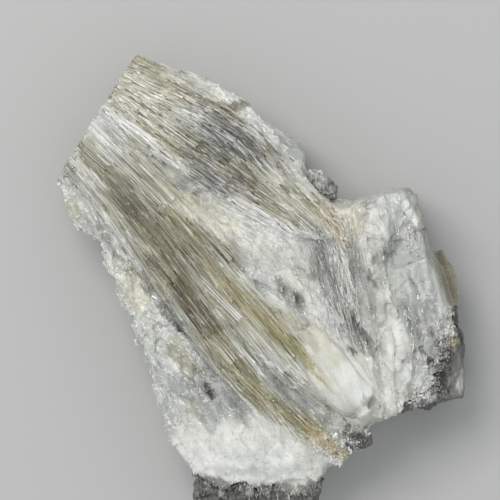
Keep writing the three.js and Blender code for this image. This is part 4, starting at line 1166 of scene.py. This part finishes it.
def layOnWalls(settings, chance, points, normals):
    # short crystals on the steep sides, where no height map reaches
    chosen = settings["where"](points, normals) & (ovalWeight(points[:, :2], "sideFlake") < 0.1)
    pick = chance.choice(np.flatnonzero(chosen), settings["tries"])
    points, normals = points[pick], normals[pick]
    places = points + normals * chance.uniform(*settings["rise"], len(pick))[:, None]
    upward = np.array([0.0, 0.0, 1.0]) - normals * normals[:, 2:3]
    angle = chance.normal(0, np.radians(settings["turn"]), len(pick))[:, None]
    along = upward * np.cos(angle) + np.cross(normals, upward) * np.sin(angle) + normals * settings["outward"]
    length = chance.uniform(*settings["length"], len(pick))
    width = chance.uniform(*settings["width"], len(pick))
    return lathSet(places[:, :2], places[:, 2], unit(along), length, width, settings["flatness"], normals)


def resting(laid, reach):
    # keeps the laths whose middle and ends all lie on one of the solids
    places, along, _, size = laid
    lengthwise = unit(along) * size[:, :1]
    fits = np.ones(len(places), bool)
    for share in (-0.45, 0, 0.45):
        for index in np.flatnonzero(fits):
            spot = Vector((places[index] + share * lengthwise[index]) * mm)
            fits[index] = any(solid.find_nearest(spot, reach * mm)[0] is not None for solid in solids)
    return onlyWhere(fits, laid)


def colourLaths(mesh, ribbed):
    # the body's colour wherever each corner lies, a little darker or lighter from lath to lath; the gleaming
    # ones are painted towards near white, a painted highlight
    points, _ = readVertices(mesh)
    grain = grainCoordinates(points)
    tint = tintAt(points, grain) * readFloat(mesh, "shade")[:, None]
    # painted gleam: a highlight painted into the colour, weaker where the crystal is dark
    gleam = readFloat(mesh, "gleam")[:, None]
    gleam *= np.clip(tint.mean(axis=1, keepdims=True) / 0.45, 0.45, 1)
    storeTint(mesh, tint + gleam * (np.array([0.95, 0.94, 0.89]) - tint), 0.95)
    grain[:, 2] += readFloat(mesh, "number")
    storeValues(mesh, "grain", grain)
    storeValues(mesh, "ribbed", np.full(len(points), ribbed))


def growLaths(name, laid, settings, chance):
    # runs the tree on the points and keeps the result as a plain mesh
    places, along, facing, size = laid
    count = len(places)
    mesh = bpy.data.meshes.new(name + "Points")
    mesh.from_pydata([tuple(place) for place in places * mm], [], [])
    storeValues(mesh, "number", chance.random(count) * 5)
    storeValues(mesh, "along", along)
    storeValues(mesh, "facing", facing)
    storeValues(mesh, "size", size * mm)
    shade = settings["shade"] + settings["contrast"] * chance.normal(0, 1, count)
    storeValues(mesh, "shade", np.clip(shade, 0.25, 1.5))
    storeValues(mesh, "gleam", settings["gleam"] * (chance.random(count) < settings["bright"]))
    carrier = addObject(name + "Carrier", mesh)
    grower = carrier.modifiers.new("grow", "NODES")
    grower.node_group = tree
    identifiers = {item.name: item.identifier for item in tree.interface.items_tree if item.in_out == "INPUT"}
    for label in ("Sides", "Taper", "Roll", "Seed"):
        grower[identifiers[label]] = settings[label.lower()]
    grower[identifiers["Material"]] = lathMaterial
    carrier.update_tag()
    graph = bpy.context.evaluated_depsgraph_get()
    grown = bpy.data.meshes.new_from_object(carrier.evaluated_get(graph), depsgraph=graph)
    carrier.modifiers.clear()
    bpy.data.objects.remove(carrier)
    for layer in ("along", "facing", "size"):
        if layer in grown.attributes:
            grown.attributes.remove(grown.attributes[layer])
    points, _ = readVertices(grown)
    points[:, 2] = np.maximum(points[:, 2], 0.02)
    writeVertices(grown, trimmed(points, 0.22 + 0.03 * readFloat(grown, "number")))
    colourLaths(grown, settings["ribbed"])
    grown.name = name
    piece = addObject(name, grown)
    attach(piece, "root")
    print(name, count, "laths,", countTriangles(grown), "triangles")


def growField(name, settings, lay, *ground):
    # lays one field of laths with its own seed, leaves out those that rest on nothing, and grows the others
    settings = {**lathDefaults, **settings}
    chance = np.random.default_rng(settings["seed"])
    laid = lay(settings, chance, *ground)
    if settings["rest"]:
        laid = resting(laid, settings["rest"])
    growLaths(name, laid, settings, chance)


onUpper = {"region": "upper", "area": (-50, 0, 25, 58)}
onMiddle = {"region": "middle", "area": (-48, -35, 24, 46)}
onLower = {"region": "lower", "area": (-50, -46, 24, 38)}
blades = {
    "tries": 3000, "length": (8, 24), "width": (0.4, 1.1), "flatness": 0.5, "turn": 0.8, "bend": 0.45,
    "rise": (-0.26, -0.06), "taper": 0.5, "roll": 0.35, "contrast": 0.1, "bright": 0.02,
}
hairs = {
    "tries": 17000, "length": (3, 14), "width": (0.18, 0.34), "turn": 0.9, "rise": (-0.06, 0.07),
    "bunches": 1.5, "contrast": 0.34, "bright": 0.2,
}
lathFields = {
    "upperBlades": {
        **onUpper, **blades, "tries": 2600, "length": (6, 18), "rise": (-0.26, 0.0), "contrast": 0.18,
        "seed": 21,
    },
    "upperHairs": {
        **onUpper, **hairs, "tries": 22000, "length": (2, 9), "width": (0.18, 0.38), "turn": 1.1,
        "rise": (-0.08, 0.12), "roll": 0.8, "contrast": 0.42, "bright": 0.33, "seed": 31,
    },
    "upperGlints": {
        **onUpper, "tries": 9000, "length": (0.6, 3.0), "width": (0.24, 0.42), "flatness": 0.6, "turn": 2.0,
        "rise": (-0.06, 0.12), "taper": 0.7, "roll": 0.8, "bunches": 1.2, "contrast": 0.2, "bright": 0.6,
        "gleam": 0.9, "ribbed": 0.0, "seed": 41,
    },
    "upperLines": {
        **onUpper, "area": (-44, 20, 6, 46), "tries": 8500, "length": (1.5, 6), "width": (0.26, 0.5),
        "turn": 1.5, "rise": (-0.04, 0.16), "taper": 0.5, "roll": 0.8, "bunches": 1.0, "contrast": 0.5,
        "bright": 0.45, "gleam": 0.8, "ribbed": 0.2, "seed": 43,
    },
    "middleBlades": {**onMiddle, **blades, "seed": 22},
    "middleHairs": {**onMiddle, **hairs, "seed": 32},
    "lowerBlades": {**onLower, **blades, "seed": 23},
    "lowerHairs": {**onLower, **hairs, "bright": 0.1, "seed": 33},
    "valleyNeedles": {
        "region": "valley", "area": (10, -14, 28, 14), "tries": 3000, "length": (1.5, 5),
        "width": (0.16, 0.4), "turn": 5.0, "rise": (-0.1, 0.06), "contrast": 0.35, "bright": 0.25,
        "gleam": 0.6, "ribbed": 0.5, "seed": 7,
    },
    "silkFibres": {
        "region": "silk", "area": (-42, -36, 50, 58), "tries": 12000, "length": (1.2, 6), "width": (0.2, 0.4),
        "flatness": 0.6, "turn": 5.0, "bend": 0.35, "rise": (-0.1, 0.02), "bunches": 1.8, "contrast": 0.13,
        "bright": 0.25, "ribbed": 0.3, "seed": 8,
    },
    "glintFlakes": {
        "region": "silk margin valley block", "area": (-50, -46, 48, 50), "tries": 16000,
        "length": (0.4, 1.5), "width": (0.28, 0.55), "flatness": 0.4, "turn": 22.0, "bend": 0.3,
        "rise": (-0.12, 0.04), "taper": 0.7, "bunches": 1.6, "contrast": 0.2, "shade": 1.05, "bright": 0.3,
        "gleam": 0.85, "ribbed": 0.1, "seed": 13,
    },
    "marginFlakes": {
        "region": "margin", "area": (-50, -50, -5, 36), "tries": 1600, "length": (0.8, 2.5),
        "width": (0.3, 0.9), "flatness": 0.4, "turn": 14.0, "rise": (-0.2, -0.04), "sides": 5, "taper": 0.7,
        "roll": 0.5, "bunches": 1.6, "contrast": 0.06, "bright": 0.2, "ribbed": 0.1, "seed": 9,
    },
    "snowFlakes": {
        "region": "snow", "area": (-24, -54, 24, -24), "tries": 900, "length": (0.3, 1.0),
        "width": (0.25, 0.6), "flatness": 0.5, "turn": 90.0, "rise": (-0.2, -0.06), "sides": 5, "taper": 0.8,
        "roll": 0.8, "contrast": 0.03, "bright": 0.3, "ribbed": 0.0, "seed": 11,
    },
}

onWalls = {"width": (0.4, 1.2), "turn": 20.0, "sides": 5, "rest": None}
wallFields = {
    "wallFlakes": {
        **onWalls, "where": onSteepSides, "tries": 2200, "length": (0.5, 1.7), "flatness": 0.35,
        "outward": -0.15, "rise": (-0.35, -0.12), "roll": 0.4, "contrast": 0.06, "bright": 0.08,
        "ribbed": 0.1, "seed": 10,
    },
    "cutEndFibres": {
        **onWalls, "where": onCutEnd, "tries": 3000, "length": (0.4, 0.9), "width": (0.4, 1.1),
        "flatness": 0.9, "outward": 6.0, "rise": (-0.35, -0.1), "taper": 0.95, "roll": 1.5,
        "contrast": 0.14, "bright": 0.1, "ribbed": 0.5, "seed": 12,
    },
}

dripSettings = {
    "tries": 650, "across": (-16, 13), "runDown": 0.8, "length": (0.6, 2.0), "width": (0.2, 0.6),
    "flatness": 0.6, "sides": 5, "taper": 0.4, "roll": 0.8, "shade": 0.88, "contrast": 0.2, "bright": 0.0,
    "ribbed": 0.0, "seed": 61,
}


def layDrips(settings, chance, bodyMap, clayMap):
    # grains of the white crust that run down over the clay below it
    count = settings["tries"]
    across = chance.uniform(*settings["across"], count)
    levels = np.linspace(-50, -40, 101)  # heights on the front between which the crust ends
    grid = np.stack(np.meshgrid(across, levels, indexing="ij"), axis=-1).reshape(-1, 2)
    covered = heightAt(bodyMap, grid).reshape(count, -1) > 0
    edge = levels[np.argmax(covered, axis=1)]
    clumped = np.clip(0.6 + softNoise(np.column_stack([across, edge * 0, edge * 0]), 1.3, 63), 0.05, 1.6)
    below = np.abs(chance.normal(0, settings["runDown"], count)) * clumped - 1.0
    centres = np.column_stack([across, edge - below])
    level = np.maximum(heightAt(clayMap, centres), heightAt(bodyMap, centres))
    level = level + chance.uniform(-0.2, 0.0, count)
    fits = covered.any(axis=1) & (level > 1)
    angle = chance.normal(0, 0.2, count)
    along = np.column_stack([np.sin(angle), -np.cos(angle), 0 * angle])
    width = chance.uniform(*settings["width"], count)
    length = chance.uniform(*settings["length"], count)
    return onlyWhere(fits, lathSet(centres, level, along, length, width, settings["flatness"]))


crumbSettings = {
    "tries": 340, "spread": 0.7, "length": (0.3, 1.0), "width": (0.3, 0.8), "sides": 5, "taper": 0.7,
    "roll": 1.5, "shade": 0.6, "contrast": 0.3, "bright": 0.06, "ribbed": 0.0, "rest": 0.9, "seed": 62,
}
paleCrumbSettings = {
    **crumbSettings, "tries": 620, "spread": 0.55, "length": (0.4, 1.3), "width": (0.4, 1.0),
    "flatness": 0.5, "roll": 0.8, "shade": 1.08, "contrast": 0.12, "bright": 0.1, "seed": 64,
}

# seams where crystal and clay grow into each other, each as x, y, x, y, ... in mm
seams = [
    (43.6, -15.0, 43.0, -18.0, 42.0, -22.5, 40.6, -25.8, 36.0, -28.8),
    (20.2, -33.0, 20.4, -36.0, 22.6, -38.4),
]
paleSeams = [
    (45.3, -5.2, 44.8, -8.0, 43.8, -11.0, 43.0, -14.0, 42.6, -15.6),
    (40.4, -19.0, 40.4, -22.5, 39.0, -25.2, 36.0, -27.4),
    (11.0, -35.8, 15.0, -39.2, 18.4, -42.4, 20.8, -40.4),
    (14.6, -34.6, 17.6, -36.6, 20.8, -40.4),
]


def layCrumbs(settings, chance, maps, lines):
    # crumbs of crystal along the seams, on whatever lies highest there
    count = settings["tries"]
    lines = [np.array(numbers).reshape(-1, 2) for numbers in lines]
    lengths = np.array([np.linalg.norm(np.diff(line, axis=0), axis=1).sum() for line in lines])
    seam = chance.choice(len(lines), count, p=lengths / lengths.sum())
    flat = np.zeros((count, 2))
    for index, line in enumerate(lines):
        place = chance.uniform(0, len(line) - 1, count)
        along = np.column_stack([np.interp(place, np.arange(len(line)), line[:, axis]) for axis in (0, 1)])
        flat = np.where((seam == index)[:, None], along, flat)
    flat += chance.normal(0, settings["spread"], flat.shape)
    level = np.max([heightAt(shape, flat) for shape in maps], axis=0)
    angle = chance.uniform(0, 2 * math.pi, count)
    along = np.column_stack([np.cos(angle), np.sin(angle), chance.uniform(-0.3, 0.3, count)])
    width = chance.uniform(*settings["width"], count)
    length = chance.uniform(*settings["length"], count)
    laid = lathSet(flat, level + chance.uniform(-0.3, 0.1, count), along, length, width, settings["flatness"])
    return onlyWhere(level > 10, laid)


claySettings = {
    "voxel": 0.4 * mm,
    "snapReach": 0.4,
    "swell": 0.2,
    "rough": 0.5, "roughCell": (2.0, 3.0, 3.5),
    "grains": 0.3, "grainCell": 0.9,
    "broken": 0.9, "brokenCell": (2.8, 2.2),
    "edge": 1.3, "soft": 0.5,  # of its colour strokes
}

# as the crystals' colour strokes, over the clay's own grey
clayStrokes = [
    (-12.8, -45.5, -12.6, -48.6, 0.7, 0.4, "pearl", 0.8), (-9.6, -45.5, -9.2, -50.0, 0.9, 0.5, "pearl", 0.8),
    (-6.4, -45.5, -6.3, -48.2, 0.6, 0.4, "pearl", 0.7), (-3.0, -45.5, -2.8, -49.4, 0.8, 0.5, "pearl", 0.8),
    (1.2, -45.5, 1.6, -49.8, 1.0, 0.5, "pearl", 0.8), (5.4, -45.5, 5.2, -48.4, 0.7, 0.4, "pearl", 0.7),
    (8.6, -45.5, 9.0, -49.6, 0.8, 0.4, "pearl", 0.8), (20.0, -33.2, 25.5, -34.4, 1.3, 1.5, "pearl", 0.9),
    (21.0, -35.6, 24.0, -36.6, 0.7, 0.7, "soot", 0.7), (-13.0, -50.8, 12.0, -50.8, 1.6, 1.6, "soot", 0.4),
    # the pearl stroke at the end of the next line is a painted highlight on the glassy face
    (47.3, -17.0, 47.8, -28.5, 1.6, 2.8, "glass", 0.95), (48.4, -20.0, 47.4, -24.5, 0.5, 1.1, "pearl", 0.9),
    (45.0, -5.0, 47.8, -12.5, 1.0, 1.2, "soot", 0.8), (43.4, -11.0, 45.6, -13.6, 1.7, 1.4, "sand", 0.75),
    (42.6, -16.0, 42.6, -25.0, 1.2, 1.3, "soot", 0.85), (36.5, -21.5, 38.8, -26.0, 2.0, 2.4, "snow", 0.9),
    (39.4, -20.0, 39.2, -25.4, 1.4, 1.4, "snow", 0.9), (42.6, -8.0, 44.4, -10.4, 1.8, 1.6, "snow", 0.9),
    (38.0, -28.2, 43.0, -29.5, 1.6, 2.0, "soot", 0.5), (46.6, -7.0, 48.0, -17.0, 1.0, 0.9, "soot", 0.8),
    (12.0, 27.5, 16.0, 22.5, 1.8, 1.8, "ash", 0.9), (11.5, 28.5, 14.0, 27.0, 0.8, 0.8, "pearl", 0.8),
]


def clayTint(points):
    # the clay's colour, and how glassy it is
    tint, glassy = np.tile(palette["clay"], (len(points), 1)), np.zeros(len(points))
    wobble = np.column_stack([softNoise(points, (0.9, 2.5, 2), seed) for seed in (67, 71)])
    moved = points[:, :2] + wobble * np.array([0.4, 1.2])
    for stroke in clayStrokes:
        weight = strokeWeight(moved, stroke, claySettings["edge"], claySettings["soft"])
        weight = weight * np.clip((points[:, 2] - 14) / 6, 0, 1)
        tint = paintedOver(tint, weight, palette[stroke[6]])
        if stroke[6] == "glass":
            glassy = np.maximum(glassy, weight)
    return tint, glassy


def makeClayMaterial():
    material, tree, shader = newMaterial("darkClay")
    tint, glassy = attributeOf(tree, "tint", "Color"), attributeOf(tree, "glassy")
    place = addNode(tree, "ShaderNodeTexCoord").outputs["Object"]
    grain = stretchedNoise(tree, place, (1, 0.45, 0.6), 4.0, 1900.0)
    cloud = stretchedNoise(tree, place, (1, 0.4, 0.5), 3.0, 420.0)
    shade = productOf(tree, rangeOf(tree, grain, 0.4, 1.55, 0.36, 0.64), rangeOf(tree, cloud, 0.65, 1.3))
    shade = blendOf(tree, glassy, shade, rangeOf(tree, cloud, 0.6, 1.3))
    # painted sparkle: pale specks on the grains, glints painted into the colour, fewer on the glassy parts
    paintedSparkle = rangeOf(tree, grain, 0.0, 0.55, 0.64, 0.72)
    paintedSparkle = productOf(tree, paintedSparkle, rangeOf(tree, glassy, 1.0, 0.2, 0.0, 1.0))
    colour = colourBlend(tree, paintedSparkle, scaledColour(tree, tint, shade), (0.6, 0.6, 0.58, 1))
    tree.links.new(colour, shader.inputs["Base Color"])
    tree.links.new(blendOf(tree, glassy, rangeOf(tree, grain, 0.35, 0.75), 0.22), shader.inputs["Roughness"])
    addBump(tree, shader, blendOf(tree, glassy, grain, cloud), 0.8, 0.25 * mm)
    return material


def makeClayPiece(nodeName, name, grainy, material, seed):
    piece = mergedCopy(nodeName, name)
    mesh = piece.data
    solid = solidOf(mesh)
    voxelRemesh(piece, claySettings["voxel"])
    writeVertices(mesh, snapTo(readVertices(mesh)[0], solid, claySettings["snapReach"]))
    points, normals = readVertices(mesh)
    rough = np.abs(layeredNoise(points, claySettings["roughCell"], seed)) - 0.4
    grains = layeredNoise(points, claySettings["grainCell"], seed + 5)
    broken = facets(points[:, :2], claySettings["brokenCell"], seed + 9, 25.0)[0]
    rise = claySettings["swell"] + grainy * (claySettings["rough"] * rough + claySettings["grains"] * grains)
    rise += claySettings["broken"] * (broken * np.clip(normals[:, 2] * 2, 0.3, 1))
    tint, glassy = clayTint(points)
    rise = np.where(points[:, 2] < 0.5, 0, rise * (1 - 0.7 * glassy))
    points = points + normals * rise[:, None]
    points[:, 2] = np.maximum(points[:, 2], 0)
    writeVertices(mesh, points)
    storeTint(mesh, tint, 1.0)
    storeValues(mesh, "glassy", glassy)
    mesh.materials.append(material)
    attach(piece, "root")
    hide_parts(nodeName)
    print(name, countTriangles(mesh), "triangles")
    return piece


body = makeBody()
bodyPoints, bodyNormals = readVertices(body.data)
frontMap = makeFrontMap(bodyPoints, bodyNormals)
solids = [solidOf(body.data)]
tree = lathTree()
lathMaterial = makeCrystalMaterial("lathCrystal", 0.2)
for name, settings in lathFields.items():
    growField(name, settings, layOnFront, frontMap)
growField("brokenBundles", bundleSettings, layBundles, frontMap)
for name, settings in wallFields.items():
    growField(name, settings, layOnWalls, bodyPoints, bodyNormals)

clayMaterial = makeClayMaterial()
clayMaps = {}
for nodeName, name, grainy, seed in (
    ("clay_base", "clayBase", 1.0, 40), ("clay_rim", "clayRim", 1.0, 50),
    ("clay_chip_upper", "clayChipUpper", 0.3, 60), ("clay_chip_lower", "clayChipLower", 0.6, 70),
):
    clay = makeClayPiece(nodeName, name, grainy, clayMaterial, seed)
    clayMaps[name] = makeFrontMap(*readVertices(clay.data))
    solids.append(solidOf(clay.data))
growField("snowDrips", dripSettings, layDrips, frontMap, clayMaps["clayBase"])
seamMaps = [frontMap, clayMaps["clayRim"], clayMaps["clayChipLower"]]
growField("seamCrumbs", crumbSettings, layCrumbs, seamMaps, seams)
growField("paleCrumbs", paleCrumbSettings, layCrumbs, seamMaps, paleSeams)

stageSettings = {
    "floorSide": 3.0,
    "floorColour": toLinear(184, 184, 183),
    "floorRoughness": 0.9,
    "keyPower": 5.2,
    "keyAt": (-0.29, 0.36, 0.92),
    "keySide": 0.45,
    "keyColour": (1.0, 0.99, 0.96),
    "skyStrength": 0.7,
    "skyColour": (0.95, 0.98, 1.0, 1),
    "cameraHeight": 1.4,
    "sensorWidth": 36,
    "viewWidth": 119.05 * mm,  # what the camera's frame spans at the front face
    "viewMiddle": (-2.64 * mm, 8.43 * mm, 28 * mm),
}


def makeStage():
    half = stageSettings["floorSide"] / 2
    corners = [(-half, -half, 0), (half, -half, 0), (half, half, 0), (-half, half, 0)]
    mesh = bpy.data.meshes.new("floor")
    mesh.from_pydata(corners, [], [(0, 1, 2, 3)])
    floor = addObject("floor", mesh)
    material, _, shader = newMaterial("paleFloor")
    shader.inputs["Base Color"].default_value = (*stageSettings["floorColour"], 1)
    shader.inputs["Roughness"].default_value = stageSettings["floorRoughness"]
    mesh.materials.append(material)


def makeLights():
    world = bpy.data.worlds.new("softRoom")
    bpy.context.scene.world = world
    world.use_nodes = True
    background = world.node_tree.nodes["Background"]
    background.inputs["Color"].default_value = stageSettings["skyColour"]
    background.inputs["Strength"].default_value = stageSettings["skyStrength"]
    lamp = bpy.data.lights.new("keyLight", "AREA")
    lamp.shape = "SQUARE"
    lamp.size = stageSettings["keySide"]
    lamp.energy = stageSettings["keyPower"]
    lamp.color = stageSettings["keyColour"]
    key = addObject("keyLight", lamp)
    key.location = stageSettings["keyAt"]
    key.rotation_euler = (-Vector(stageSettings["keyAt"])).to_track_quat("-Z", "Y").to_euler()


def makeCamera():
    # looks straight down
    lens = bpy.data.cameras.new("camera")
    lens.sensor_width = stageSettings["sensorWidth"]
    lens.lens = stageSettings["sensorWidth"] * stageSettings["cameraHeight"] / stageSettings["viewWidth"]
    camera = addObject("camera", lens)
    camera.location = Vector(stageSettings["viewMiddle"]) + Vector((0, 0, stageSettings["cameraHeight"]))
    bpy.context.scene.camera = camera


makeStage()
makeLights()
makeCamera()
bpy.context.scene.view_settings.view_transform = "Standard"

print("scene made")
